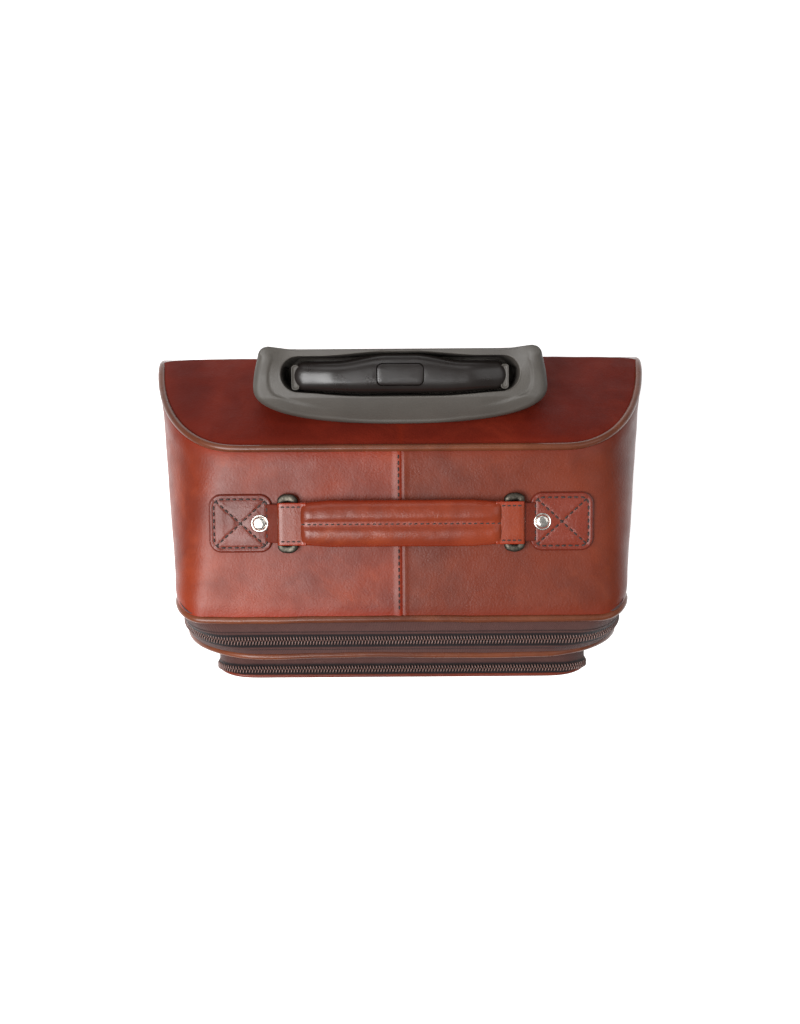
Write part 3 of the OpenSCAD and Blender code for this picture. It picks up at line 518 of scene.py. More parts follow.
def leather_material(name, dark, mid, light, burn, gloss=0.4, grain=1.0, coat=0.12,
                     right_half_tone_and_shade=0.0, shine=0.26):
    """Pull-up leather: blotchy tone, fine pebble, creases, and burnished edges."""
    n = Nodes(name)
    blotch = n.noise(7, 4, 0.5, 0.4)
    cloud = n.noise(26, 4, 0.55, 0.7)
    tone = n.maths("ADD", n.maths("MULTIPLY", blotch, 0.65), n.maths("MULTIPLY", cloud, 0.35))
    color = n.mix(n.span(tone, 0.34, 0.66, 0, 1, True), dark, mid)
    color = n.mix(n.span(n.noise(19, 4, 0.6, 0.8), 0.48, 0.8, 0, 0.5, True), color, light)
    pores = n.noise(900, 2, 0.6)
    color = n.mix(n.span(pores, 0.3, 0.7, 0.14, 0.0), color, dark, "MULTIPLY")
    color = n.mix(n.span(n.attribute("edge"), 0.0, 1.0, 0.0, 0.75), color, burn)
    # Darker right half of each piece: partly the right panel's darker tone, partly painted shade
    # for light that falls from the left.
    if right_half_tone_and_shade:
        place = n.add("ShaderNodeSeparateXYZ")
        n.feed(place.inputs[0], n.object)
        color = n.mix(n.span(place.outputs[0], 0.0, 1 * MM, 0, right_half_tone_and_shade), color,
                      srgb(70, 34, 20))
    pebble = n.cells(620, "SMOOTH_F1")
    fine = n.noise(1500, 3, 0.65)
    crease = n.cells(150, "DISTANCE_TO_EDGE", n.scaled(n.object, (1, 0.55, 1), (0, 0, 0.5)))
    height = n.maths("ADD", n.maths("MULTIPLY", pebble, 0.8), n.maths("MULTIPLY", fine, 0.45))
    normal = n.bump(height, 0.28 * grain, 0.6 * MM)
    normal = n.bump(n.span(crease, 0.0, 0.12), 0.06 * grain, 0.4 * MM, normal)
    normal = n.bump(n.noise(70, 3, 0.5), 0.25 * grain, 1.2 * MM, normal)
    rough = n.span(n.noise(45, 4, 0.6), 0.3, 0.7, gloss - 0.06, gloss + 0.1)
    return n.finish(color, rough, normal, Coat_Weight=coat, Coat_Roughness=0.3,
                    Specular_IOR_Level=shine)


def fabric_material(name, warp, weft, pitch=0.75 * MM, sheen=0.15):
    """Plain weave: threads over and under each other, along the piece's own UVs."""
    n = Nodes(name)
    uv = n.add("ShaderNodeSeparateXYZ")
    n.feed(uv.inputs[0], n.uv)
    turn = math.pi / pitch
    u = n.maths("SINE", n.maths("MULTIPLY", uv.outputs[0], turn))
    v = n.maths("SINE", n.maths("MULTIPLY", uv.outputs[1], turn))
    over = n.maths("MULTIPLY", u, v)
    ridge = n.maths("MAXIMUM", n.maths("ABSOLUTE", u), n.maths("ABSOLUTE", v))
    color = n.mix(n.span(over, -0.5, 0.5), warp, weft)
    color = n.mix(n.span(n.noise(60, 4), 0.35, 0.7, 0.0, 0.35), color, weft)
    color = n.mix(n.span(n.noise(2600, 2), 0.3, 0.7, 0.25, 0.0), color, (0, 0, 0))
    # The edge attribute pulls the cloth to near-black; on the zip bands it is painted shade round
    # the coil, over the tape's own darker colour.
    color = n.mix(n.attribute("edge"), color, srgb(24, 17, 18))
    normal = n.bump(n.maths("ADD", over, ridge), 0.55, 0.25 * MM)
    normal = n.bump(n.noise(180, 3), 0.2, 0.5 * MM, normal)
    return n.finish(color, n.span(n.noise(90), 0.3, 0.7, 0.72, 0.9), normal,
                    Sheen_Weight=sheen, Sheen_Roughness=0.5, Specular_IOR_Level=0.25)


def plastic_material(name, color, rough, grain, strength, coat=0.0):
    """Moulded plastic with spark-eroded texture and faint flow marks."""
    n = Nodes(name)
    tone = n.mix(n.span(n.noise(26, 4), 0.35, 0.7, 0, 0.5), color, tuple(c * 1.35 for c in color))
    texture = n.maths("ADD", n.noise(grain, 3, 0.7), n.cells(grain * 0.6, "SMOOTH_F1"))
    normal = n.bump(texture, strength, 0.3 * MM)
    return n.finish(tone, n.span(n.noise(55, 4), 0.3, 0.7, rough - 0.05, rough + 0.07), normal,
                    Coat_Weight=coat, Coat_Roughness=0.2, Specular_IOR_Level=0.45)


def metal_material(name, color, rough, scale, strength, stretch=(1, 1, 1), dark=0.5):
    """Metal with brushing or hammering, and darker patches of tarnish."""
    n = Nodes(name)
    marks = n.noise(scale, 4, 0.6, 0.2, n.scaled(n.object, stretch))
    tone = n.mix(n.span(n.noise(140, 4), 0.35, 0.7, 0, 1), color, tuple(c * dark for c in color))
    normal = n.bump(marks, strength, 0.5 * MM)
    return n.finish(tone, n.span(marks, 0.3, 0.7, rough - 0.07, rough + 0.1), normal,
                    Metallic=1.0)


leather = leather_material("leather_cognac", srgb(104, 34, 14), srgb(136, 50, 22),
                           srgb(156, 66, 32), srgb(142, 36, 10), right_half_tone_and_shade=0.42)
# The shoulder's leather is a darker, duller copy of the cognac leather: painted shade for the slope
# that faces away from the key light.
shaded_shoulder_leather = leather_material("leather_shoulder_painted_shade", srgb(86, 22, 12), srgb(110, 32, 18),
                                srgb(128, 44, 26), srgb(120, 34, 14), gloss=0.55, coat=0.0,
                                shine=0.1)
leather_patch = leather_material("leather_patch", srgb(94, 34, 20), srgb(122, 46, 28),
                                 srgb(134, 64, 46), srgb(96, 30, 18), gloss=0.36, grain=1.3,
                                 coat=0.25)
leather_strap = leather_material("leather_strap", srgb(108, 38, 16), srgb(138, 54, 26),
                                 srgb(158, 72, 38), srgb(156, 42, 10), gloss=0.3, coat=0.35)
piping_leather = leather_material("leather_piping", srgb(88, 44, 26), srgb(116, 62, 38),
                                  srgb(134, 76, 50), srgb(92, 38, 20), gloss=0.27, grain=0.4,
                                  coat=0.3)
piping_red = leather_material("leather_piping_red", srgb(92, 36, 22), srgb(116, 48, 30),
                              srgb(134, 62, 42), srgb(100, 30, 16), gloss=0.36, grain=0.6)
band_cloth = fabric_material("band_cloth", srgb(72, 45, 44), srgb(92, 61, 55))
lining_cloth = fabric_material("lining_cloth", srgb(66, 50, 44), srgb(92, 74, 64), 0.9 * MM)
zip_plastic = plastic_material("zip_plastic", srgb(112, 86, 80), 0.25, 900, 0.08)
bezel_plastic = plastic_material("bezel_plastic", srgb(72, 68, 63), 0.5, 1500, 0.4)
grip_plastic = plastic_material("grip_plastic", srgb(27, 22, 20), 0.3, 1900, 0.14, coat=0.15)
hub_plastic = plastic_material("hub_plastic", srgb(58, 58, 60), 0.45, 1500, 0.2)
rubber = plastic_material("rubber", srgb(34, 33, 32), 0.75, 700, 0.3)
pewter = metal_material("pewter", srgb(96, 91, 82), 0.46, 420, 0.55, dark=0.35)
nickel = metal_material("nickel", srgb(232, 228, 220), 0.2, 300, 0.05, dark=0.85)
aluminium = metal_material("aluminium", srgb(196, 197, 200), 0.32, 900, 0.12, (1, 1, 0.02), 0.85)
steel = metal_material("steel", srgb(170, 168, 165), 0.35, 700, 0.1, dark=0.7)


def thread_material():
    n = Nodes("thread")
    strands = n.noise(2600, 2, 0.5)
    color = n.mix(n.span(strands, 0.3, 0.7), srgb(30, 16, 12), srgb(52, 28, 20))
    return n.finish(color, 0.62, n.bump(strands, 0.5, 0.3 * MM), Sheen_Weight=0.2)


thread = thread_material()


def rematerial(material, *nodes, bevel_width=0.0):
    """Gives CAD nodes a better material, and eased edges where asked."""
    for name in nodes:
        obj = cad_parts[name]
        for k in range(len(obj.material_slots)):
            obj.material_slots[k].link = "OBJECT"
            obj.material_slots[k].material = material
        if not obj.material_slots:
            obj.data.materials.append(material)
        if bevel_width:
            bevel(obj, bevel_width)


# ---------- Leather body ----------


N_SIDE, N_ARC, N_TOP, N_BOTTOM = 26, 16, 80, 30  # points on each stretch of an outline
UPPER = 2 * N_SIDE + 2 * N_ARC + N_TOP + 1       # points from foot to foot over the top


def outline(hw, low_z, high_z, r_low, r_high):
    """Closed X-Z outline, from the right side's foot, up, over the top and down the left."""
    def arc(cx, cz, r, a0):
        a = np.radians(a0 + 90 * np.arange(N_ARC) / N_ARC)
        return np.stack([cx + r * np.cos(a), cz + r * np.sin(a)], -1)
    up = np.linspace(low_z + r_low, high_z - r_high, N_SIDE, endpoint=False)
    s = np.linspace(1, -1, N_TOP, endpoint=False)
    top_x = (hw - r_high) * signed_power(s, 1.5)
    down = np.linspace(high_z - r_high, low_z + r_low, N_SIDE, endpoint=False)
    base = np.linspace(-hw + r_low, hw - r_low, N_BOTTOM, endpoint=False)
    return np.concatenate([
        np.stack([np.full(N_SIDE, hw), up], -1), arc(hw - r_high, high_z - r_high, r_high, 0),
        np.stack([top_x, np.full(N_TOP, high_z)], -1),
        arc(-hw + r_high, high_z - r_high, r_high, 90),
        np.stack([np.full(N_SIDE, -hw), down], -1), arc(-hw + r_low, low_z + r_low, r_low, 180),
        np.stack([base, np.full(N_BOTTOM, low_z)], -1), arc(hw - r_low, low_z + r_low, r_low, 270)])


def sweep_back(x, hw, r):
    t = np.clip((np.abs(x) - hw + r) / r, 0, 1)
    return SWEEP * (1 - np.sqrt(1 - t * t))


front_outline = outline(FRONT_HW, BOTTOM, TOP, LOW_R, FRONT_R)
back_outline = outline(BACK_HW, BOTTOM, TOP, LOW_R, BACK_R)


def body_points(share):
    """Points of the body's skin, each at its own share of the depth from the front seam."""
    xz = front_outline + (back_outline - front_outline) * share[..., None]
    return np.stack([xz[..., 0], FRONT_Y + DEPTH * share, xz[..., 1]], -1)


rise = DEPTH * SLOPE
front_share = sweep_back(front_outline[:, 0], FRONT_HW, FRONT_R) / DEPTH
back_share = np.minimum(1, (SHOULDER_Z + rise - front_outline[:, 1])
                        / (back_outline[:, 1] - front_outline[:, 1] + rise))


def make_gusset():
    """The wrapped leather skin between the two piped seams, with its centre seam on top."""
    v = 0.5 - 0.5 * np.cos(np.linspace(0, math.pi, 72))
    share = front_share + (back_share - front_share) * v[:, None]
    pts = body_points(share)
    normals = grid_normals(pts, wrap=True)
    centre = np.array([0, pts[..., 1].mean(), (TOP + BOTTOM) / 2])
    if ((pts[30, 100] - centre) @ normals[30, 100]) < 0:
        normals = -normals
    length = DEPTH * (back_share - front_share)
    d_front = v[:, None] * length
    d_back = (1 - v[:, None]) * length
    near = np.minimum(d_front, d_back)
    tuck = -(0.7 + 0.8 * (d_back < d_front)) * MM * fade(near, 3.5 * MM)
    swell = 0.7 * MM * hump(near, 13 * MM, 9 * MM)
    sag = 0.45 * MM * wobble(pts, 120 * MM, 3) + 0.12 * MM * wobble(pts, 35 * MM, 4)
    x = pts[..., 0]
    flat = (np.abs(pts[..., 2] - TOP) < 1 * MM) | (np.abs(pts[..., 2] - BOTTOM) < 1 * MM)
    fold = np.where((x > -5.5 * MM) & (x <= 0),
                    0.8 * MM * np.clip((x + 5.5 * MM) / (1.2 * MM), 0, 1), 0)
    groove = -0.9 * MM * hump(x, 0.4 * MM, 0.55 * MM)
    roll = 0.5 * MM * hump(x, 3 * MM, 1.8 * MM)
    pts = pts + normals * (tuck + swell + sag + np.where(flat, fold + groove + roll, 0))[..., None]
    seam = np.exp(-np.abs(x - 0.2 * MM) / (1.2 * MM)) * flat
    edge = np.clip(fade(near, 5 * MM) + 0.8 * seam, 0, 1)
    return skin("gusset_skin", pts, "case", leather, edge, LEATHER,
                "leather_gusset", wrap=True, flip=True, cut=cut_notches)


gusset_skin = make_gusset()


def shoulder_profile(count=70):
    """Y-Z points up the slope of the shoulder, from its rounded foot to the top seam."""
    s = 0.5 - 0.5 * np.cos(np.linspace(0, math.pi, count))
    y = REAR_Y - SHOULDER_D * s
    z = SHOULDER_Z + SHOULDER_H * s
    return y, z


def half_width(y, z):
    """Half width of the body at a depth and height."""
    share = (y - FRONT_Y) / DEPTH
    hw = FRONT_HW + (BACK_HW - FRONT_HW) * share
    r = FRONT_R + (BACK_R - FRONT_R) * share
    over = np.clip(z - (TOP - r), 0, r)
    return hw - r + np.sqrt(np.maximum(r * r - over * over, 0))


def make_back():
    """The back panel: flat up the back, then sloped forwards over the shoulder."""
    z_back = np.linspace(NOTCH_Z, SHOULDER_Z, 42, endpoint=False)
    y_sh, z_sh = shoulder_profile()
    y = np.concatenate([np.full(len(z_back), REAR_Y), y_sh])
    z = np.concatenate([z_back, z_sh])
    profile = smooth_path(np.stack([np.zeros(len(y)), y, z], -1), 6)
    y, z = profile[:, 1], profile[:, 2]
    t = np.linspace(-1, 1, 111)
    t = np.sign(t) * (1 - (1 - np.abs(t)) ** 1.25)
    w = half_width(y, np.minimum(z, TOP))
    pts = np.stack([w[:, None] * t, np.broadcast_to(y[:, None], (len(y), len(t))),
                    np.broadcast_to(z[:, None], (len(y), len(t)))], -1)
    normals = grid_normals(pts)
    if normals[5, 55][1] < 0:
        normals = -normals
    s = np.r_[0, np.cumsum(np.hypot(np.diff(y), np.diff(z)))]
    near = np.minimum(w[:, None] - np.abs(pts[..., 0]), (s[-1] - s)[:, None])
    fullness = np.clip((z - SHOULDER_Z + 0.05) / 0.06, 0.35, 1)[:, None]
    body = 3.2 * MM * (1 - fade(near, 16 * MM)) * fullness
    tuck = -1.6 * MM * fade(near, 3.5 * MM)
    sag = 0.5 * MM * wobble(pts, 110 * MM, 13) + 0.15 * MM * wobble(pts, 30 * MM, 14)
    x = pts[..., 0]
    groove = (-0.9 * hump(x, 0.3 * MM, 0.9 * MM)
              + 0.5 * hump(x, -3 * MM, 2.2 * MM)) * MM
    pts = pts + normals * (body + tuck + sag + groove)[..., None]
    edge = np.clip(fade(near, 5 * MM) + 0.5 * np.exp(-np.abs(x) / (1.5 * MM)), 0, 1)
    skin("back_skin", pts, "case", shaded_shoulder_leather, edge, LEATHER, "back_panel",
         flip=True)
    z = np.linspace(BOTTOM, NOTCH_Z, 14)
    foot = np.stack(np.broadcast_arrays(NOTCH_X * t[None], REAR_Y + 0 * z[:, None], z[:, None]), -1)
    foot[..., 1] += 1.1 * MM * (1 - np.exp(-(z[:, None] - BOTTOM) / (14 * MM)))
    skin("back_skin_foot", foot, "case", shaded_shoulder_leather,
         np.exp(-(foot[..., 2] - BOTTOM) / (5 * MM)), LEATHER, flip=True)


make_back()

seam = body_points(back_share)[:UPPER]
seam = seam[seam[:, 2] > NOTCH_Z + 3 * MM]
seam_in = seam.copy()
seam_in[:, 0] -= np.sign(seam[:, 0]) * 1.0 * MM
seam_in[:, 1] -= 1.2 * MM
back_line = smooth_path(resample(seam_in, 2.5 * MM), 14)
back_line[:, 2] += 0.3 * MM * wobble(back_line, 90 * MM, 82)
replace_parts(tube("back_piping_cord", back_line, PIPING_R, "case", piping_leather,
                 wave=0.03), "back_piping")


def closed_cord(name, line, radius, body, node):
    """Piping round a closed seam."""
    line = smooth_path(resample(line, 2.5 * MM, True), 6, True)
    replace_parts(tube(name, line, radius, body, piping_leather, closed=True,
                     wave=0.03), node)


front_line = body_points(front_share)
front_line[:, 1] -= 2 * MM
front_line[:, [0, 2]] += (np.array([0, (TOP + BOTTOM) / 2]) - front_line[:, [0, 2]]) * 0.006
front_line[:, 1] += 0.9 * MM * wobble(front_line, 130 * MM, 81)
closed_cord("front_piping_cord", front_line, PIPING_R, "case", "front_piping")


# ---------- Zip bands ----------


def band_points(share, lift=0.0):
    """Loop of the fabric band, from the body's seam at share 0 to the lid's piping at 1."""
    def between(a, b):
        return a + (b - a) * share
    hw = between(FRONT_HW - LEATHER, LID_HW)
    r = between(FRONT_R - LEATHER, LID_R)
    xz = outline(hw + lift, between(BOTTOM + LEATHER, LID_LOW) - lift,
                 between(TOP - LEATHER, LID_TOP) + lift, LOW_R - LEATHER + lift, r + lift)
    return np.stack([xz[:, 0], FRONT_Y - BAND * share + sweep_back(xz[:, 0], hw, r), xz[:, 1]], -1)


def make_band(name, shares, body, node):
    """Half of the fabric band, with the zip's tape as a raised strip beside the coil."""
    rows = np.array([band_points(s) for s in shares])
    normals = grid_normals(rows, wrap=True)
    if normals[1, 100][2] < 0:
        normals = -normals
    d = np.abs(shares - shares[-1]) * BAND
    tape = np.where(d < 7.5 * MM, 0.5 * MM, 0.0) * (1 - 0.3 * fade(d, 1.5 * MM))
    span = np.abs(shares[-1] - shares[0]) * BAND
    belly = 0.9 * MM * np.sin(np.clip(d / span, 0, 1) * math.pi)
    lift = (tape + belly)[:, None] + 0.25 * MM * wobble(rows, 50 * MM, 21)
    rows = rows + normals * lift[..., None]
    # dark: painted shade under and between the coil's turns, over the tape's own darker colour, and
    # a thin painted shade line in the groove at the tape's raised edge.
    dark = np.clip(1.3 * np.exp(-((d - 2.5 * MM) / (3.1 * MM)) ** 6)
                   + 0.8 * hump(d, 7.6 * MM, 0.5 * MM), 0, 1)
    skin(name, rows, body, band_cloth, np.repeat(dark, rows.shape[1]), FABRIC, node,
         wrap=True, flip=shares[0] > shares[-1])


half_gap = 0.3 * MM / BAND
make_band("body_band", np.linspace(-0.12, ZIP_SHARE - half_gap, 56), "case", "body_zip_band")
make_band("lid_band", np.linspace(1.0, ZIP_SHARE + half_gap, 36), "lid", "lid_zip_band")

lid_line = band_points(1.0)
lid_line[:, 1] += 0.8 * MM * wobble(lid_line, 140 * MM, 83) - 1 * MM
lid_line[:, [0, 2]] += (np.array([0, (TOP + BOTTOM) / 2]) - lid_line[:, [0, 2]]) * 0.004
closed_cord("lid_piping_cord", lid_line, LID_PIPING_R, "lid", "lid_piping")


def tooth_template(width, height, thick, sides=5, steps=6):
    """One turn of a coil zip: an arch across y from the chain's middle out to the tape."""
    rows = []
    for k in range(steps):
        a = math.pi * k / (steps - 1)
        cy = width * (0.5 - 0.5 * math.cos(a))
        cz = height * (0.25 + 0.75 * math.sin(a)) - thick * 0.3
        for j in range(sides):
            b = 2 * math.pi * j / sides
            rows.append((thick / 2 * math.cos(b) + thick * 0.45 * (k / (steps - 1) - 0.5) * 2,
                         cy, cz + thick / 2 * math.sin(b)))
    faces = [list(f) for f in grid_faces(steps, sides, wrap=True)]
    faces += [list(range(sides))[::-1], [(steps - 1) * sides + j for j in range(sides)]]
    return rows, faces


def make_coil(name, path, outward, body, node, side, pitch=2.7 * MM, width=COIL_W):
    """One row of coil turns along a path, on the +Y or -Y side of it."""
    step = resample(path, pitch)
    if side < 0:
        step = (step[:-1] + step[1:]) / 2
    t = tangents(step)
    nearest = [int(np.argmin(((path - p) ** 2).sum(1))) for p in step]
    n = outward[nearest]
    n = n - t * (n * t).sum(1, keepdims=True)
    n /= np.linalg.norm(n, axis=1, keepdims=True)
    across = np.cross(n, t)
    across *= np.sign(across[:, 1:2]) * side
    verts, faces = tooth_template(width - 0.5 * MM, 1.6 * MM, 1.2 * MM)
    obj = stamp(name, verts, faces, step + across * -0.35 * MM, np.stack([t, across, n], 1), body,
                zip_plastic)
    if node:
        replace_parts(obj, node)
    return obj


def outward_of(points):
    """Directions out of a foot-to-foot line, square to it, in the X-Z plane."""
    t = tangents(points)
    n = np.stack([t[:, 2], np.zeros(len(t)), -t[:, 0]], -1)
    return n / np.linalg.norm(n, axis=1, keepdims=True)


zip_line = band_points(ZIP_SHARE, 0.6 * MM)[:UPPER]
zip_out = outward_of(zip_line)
make_coil("body_coil_teeth", zip_line, zip_out, "case", "body_zip_coil", 1)
make_coil("lid_coil_teeth", zip_line, zip_out, "lid", "lid_zip_coil", -1)


# ---------- Lid panel and pocket ----------


def panel_rows(hw, low_z, high_z, r_low, r_high, rows=60, cols=81):
    """X-Z grid that fills a rounded panel; returns the points and each one's edge distance."""
    z = low_z + (high_z - low_z) * (0.5 - 0.5 * np.cos(np.linspace(0, math.pi, rows)))
    over_top = np.clip(z - (high_z - r_high), 0, r_high)
    over_low = np.clip((low_z + r_low) - z, 0, r_low)
    w = np.where(over_top > 0, hw - r_high + np.sqrt(r_high**2 - over_top**2),
                 hw - r_low + np.sqrt(r_low**2 - over_low**2))
    t = np.linspace(-1, 1, cols)
    t = np.sin(t * math.pi / 2)
    x = w[:, None] * t
    zz = np.broadcast_to(z[:, None], x.shape)
    near = np.minimum(np.minimum(w[:, None] - np.abs(x), high_z - zz), zz - low_z)
    return x, zz, np.maximum(near, 0)


def pocket_bow(x):
    """How far the pocket's front face falls back towards its sides."""
    t = np.clip((np.abs(x) - POCKET_HW + 40 * MM) / (40 * MM), 0, 1)
    return 7 * MM * (1 - np.sqrt(1 - t * t))


def make_panel(name, hw, low_z, high_z, r_low, r_high, face_y, puff, body, node, bow, seed,
               fall):
    x, z, near = panel_rows(hw, low_z, high_z, r_low, r_high)
    y = np.full(x.shape, face_y) + (sweep_back(x, hw, r_high) if bow else pocket_bow(x))
    pts = np.stack([x, y, z], -1)
    out = puff * (1 - fade(near, 12 * MM)) - fall * fade(near, 2.2 * MM)
    out += 0.5 * MM * wobble(pts, 90 * MM, seed) * np.clip(near / (20 * MM), 0, 1)
    pts[..., 1] -= out
    skin(name, pts, body, leather, fade(near, 6 * MM), LEATHER, node)


make_panel("lid_skin", LID_HW - 1 * MM, LID_LOW + 1 * MM, LID_TOP - 1 * MM, LOW_R, LID_R, LID_Y,
           1.6 * MM, "lid", "lid_panel", True, 31, 0.5 * MM)
make_panel("pocket_skin", POCKET_HW, POCKET_LOW, POCKET_TOP, POCKET_R, POCKET_R,
           POCKET_Y + 2.5 * MM, 2.2 * MM, "pocket_flap", "pocket_panel", False, 33, 0.2 * MM)


def pocket_loop(y, lift=0.0):
    xz = outline(POCKET_HW + lift, POCKET_LOW - lift, POCKET_TOP + lift, POCKET_R + lift,
                 POCKET_R + lift)
    return np.stack([xz[:, 0], np.full(len(xz), y), xz[:, 1]], -1)


POCKET_ZIP_Y = (high("pocket_front_band")[1] + low("pocket_back_band")[1]) / 2


def make_pocket_band(name, y_zip, y_far, body, node):
    ys = np.linspace(y_zip, y_far, 16)
    rows = np.array([pocket_loop(y) for y in ys])
    far_lid = LID_Y - 1.5 * MM + sweep_back(rows[-1][:, 0], LID_HW, LID_R)
    share = np.linspace(0, 1, len(ys))[:, None]
    if y_far > y_zip:
        rows[..., 1] = y_zip + (far_lid[None] - y_zip) * share
    else:
        rows[..., 1] += pocket_bow(rows[..., 0]) * share**2
    normals = grid_normals(rows, wrap=True)
    if normals[1, 100][2] < 0:
        normals = -normals
    d = np.abs(rows[..., 1] - y_zip)
    tape = np.where(d < 5.5 * MM, 0.4 * MM, 0)
    # dark: painted shade under and between the pocket coil's turns, over the tape's own darker
    # colour.
    dark = np.clip(1.3 * np.exp(-((d - 2.2 * MM) / (2.6 * MM)) ** 6), 0, 1)
    rows = rows + normals * (tape + 0.2 * MM * wobble(rows, 40 * MM, 41))[..., None]
    skin(name, rows, body, band_cloth, dark, FABRIC, node, wrap=True,
         flip=y_far > y_zip)


make_pocket_band("pocket_rear_band", POCKET_ZIP_Y + 0.3 * MM, LID_Y - 1 * MM, "lid",
                 "pocket_back_band")
make_pocket_band("pocket_front_cloth", POCKET_ZIP_Y - 0.3 * MM, POCKET_Y + 2 * MM, "pocket_flap",
                 "pocket_front_band")
pocket_line = pocket_loop(POCKET_ZIP_Y, 0.5 * MM)[:UPPER]
pocket_line = pocket_line[pocket_line[:, 2] > POCKET_LOW + 40 * MM]
pocket_out = outward_of(pocket_line)
make_coil("pocket_rear_teeth", pocket_line, pocket_out, "lid", None, 1, width=3.9 * MM)
make_coil("pocket_front_teeth", pocket_line, pocket_out, "pocket_flap", None, -1, width=3.9 * MM)
pocket_rim = pocket_loop(POCKET_Y + 2.2 * MM, -0.6 * MM)
pocket_rim[:, 1] += pocket_bow(pocket_rim[:, 0])
tube("pocket_edge_cord", smooth_path(resample(pocket_rim, 2.5 * MM, True), 4, True), 1.7 * MM,
     "pocket_flap", piping_red, closed=True, sides=10, wave=0.03)


# ---------- Carry handle ----------
HANDLE_Y = middle("ring_right")[1]
RING_Z = middle("ring_right")[2]
WIRE_R = 2.6 * MM
RING_OUT = high("ring_right")[0] - WIRE_R
RING_IN = low("ring_right")[0] + WIRE_R
RIVET_X = high("handle_rivets")[0] - 10.8 * MM
PATCH_W = 56 * MM
PATCH_D = high("handle_tab_right")[1] - low("handle_tab_right")[1]
PATCH_X = high("handle_tab_right")[0] - 2.6 * MM - PATCH_W / 2
case_stitches = Stitching("case_stitching", "case", "piping_leather", 3.9 * MM, 1.5 * MM, 5.7 * MM)
handle_stitches = Stitching("handle_stitching", "carry_handle", "piping_leather", 3.3 * MM,
                            1.25 * MM, 5.2 * MM)


def segment_distance(x, y, a, b):
    """Distance of points from a line piece, in plan."""
    ax, ay = a
    bx, by = b
    t = np.clip(((x - ax) * (bx - ax) + (y - ay) * (by - ay)) / ((bx - ax)**2 + (by - ay)**2), 0, 1)
    return np.hypot(x - ax - t * (bx - ax), y - ay - t * (by - ay))


def make_patch(side):
    """A stitched leather patch with a rolled edge and box-and-cross stitching."""
    cx = side * PATCH_X
    height = 2.9 * MM
    sew = 4.6 * MM
    hw, hd = PATCH_W / 2, PATCH_D / 2
    corner = 11 * MM
    border = rounded_rect(PATCH_W, PATCH_D, corner, 14)
    shares = np.r_[np.linspace(0.0, 0.86, 44)[1:], np.linspace(0.875, 1.0, 14)][::-1]
    sx, sy = hw - sew, hd - sew
    cross = [((-sx, -sy), (sx, sy)), ((-sx, sy), (sx, -sy))]
    levels, edges = [], []
    for z in (0.0, 0.9):
        levels.append(level(border, TOP + z * MM, cx, HANDLE_Y))
        edges.append(np.ones(len(border)))
    for s in shares:
        p = border * s
        far = np.minimum(hw - np.abs(p[:, 0]), hd - np.abs(p[:, 1]))
        corner_x = np.abs(p[:, 0]) - hw + corner
        corner_y = np.abs(p[:, 1]) - hd + corner
        in_corner = (corner_x > 0) & (corner_y > 0)
        far = np.where(in_corner, corner - np.hypot(corner_x, corner_y), far)
        far = np.maximum(far, 0)
        lift = height * np.sqrt(1 - np.clip(1 - far / (2.0 * MM), 0, 1) ** 2)
        d = np.abs(far - sew)
        for a, b in cross:
            d = np.minimum(d, segment_distance(p[:, 0], p[:, 1], a, b))
        lift = lift - 0.4 * MM * np.exp(-(d / (1.3 * MM)) ** 2)
        lift = lift + 0.4 * MM * np.clip((far - sew) / (8 * MM), 0, 1)
        lift += 0.15 * MM * wobble(np.column_stack([p, p[:, :1]]), 18 * MM, 51 + side)
        levels.append(level(p, TOP + np.maximum(lift, 0.9 * MM), cx, HANDLE_Y))
        edges.append(fade(far, 2.2 * MM))
    obj = ring_mesh(levels, f"patch_{side_name(side)}", "case", leather_patch,
                    edge=np.r_[np.concatenate(edges), 0.0])
    top = TOP + height - 0.45 * MM
    loop = rounded_rect(PATCH_W - 2 * sew, PATCH_D - 2 * sew, corner - sew, 8)
    loop = np.vstack([loop, loop[:1]])
    for line in (loop, *(np.array(ends) * 0.96 for ends in cross)):
        case_stitches.run(on_surface(level(line, top, cx, HANDLE_Y), obj, 0.5 * MM))
    return obj


def ribbon(name, path, width, thick, body, material, y0, edge_soft=1.0 * MM):
    """A flat strap that follows a path in the X-Z plane, with softly rounded long edges."""
    p = resample(np.column_stack([path[:, 0], np.zeros(len(path)), path[:, 1]]), 1.0 * MM)
    t = tangents(p)
    n = np.stack([-t[:, 2], np.zeros(len(t)), t[:, 0]], -1)
    half = width / 2
    section = []
    for k in range(9):
        a = math.pi / 2 - math.pi * k / 8
        section.append((half - edge_soft + edge_soft * math.cos(a), thick / 2 * math.sin(a)))
    side = np.linspace(half - edge_soft, -half + edge_soft, 17)[1:-1]
    under = [(c, -thick / 2) for c in side]
    left = [(-y, -z) for y, z in section]
    over = [(c, thick / 2) for c in side[::-1]]
    loop = np.array(section + under + left + over)
    pts = p[:, None] + loop[None, :, 1:2] * n[:, None] + loop[None, :, :1] * np.array([0, 1, 0])
    pts[..., 1] += y0
    m = len(loop)
    faces = [list(f) for f in grid_faces(len(p), m, wrap=True)]
    faces += [list(range(m))[::-1], [(len(p) - 1) * m + k for k in range(m)]]
    far = half - np.abs(np.broadcast_to(loop[None, :, 0], pts.shape[:2]))
    return make_mesh(name, pts.reshape(-1, 3), faces, body, material,
                     edge=fade(far, 1.6 * MM))


def wrap_path(cx, cz, r, x_end, z_end, under_z, count=20):
    """X-Z path from x_end over a bar at cx and back underneath."""
    a = np.linspace(math.pi / 2, 3 * math.pi / 2, count)
    sign = 1 if x_end > cx else -1
    arc = np.stack([cx - sign * -r * np.cos(a), cz + r * np.sin(a)], -1)
    return np.vstack([[x_end, z_end], arc, [x_end, under_z]])


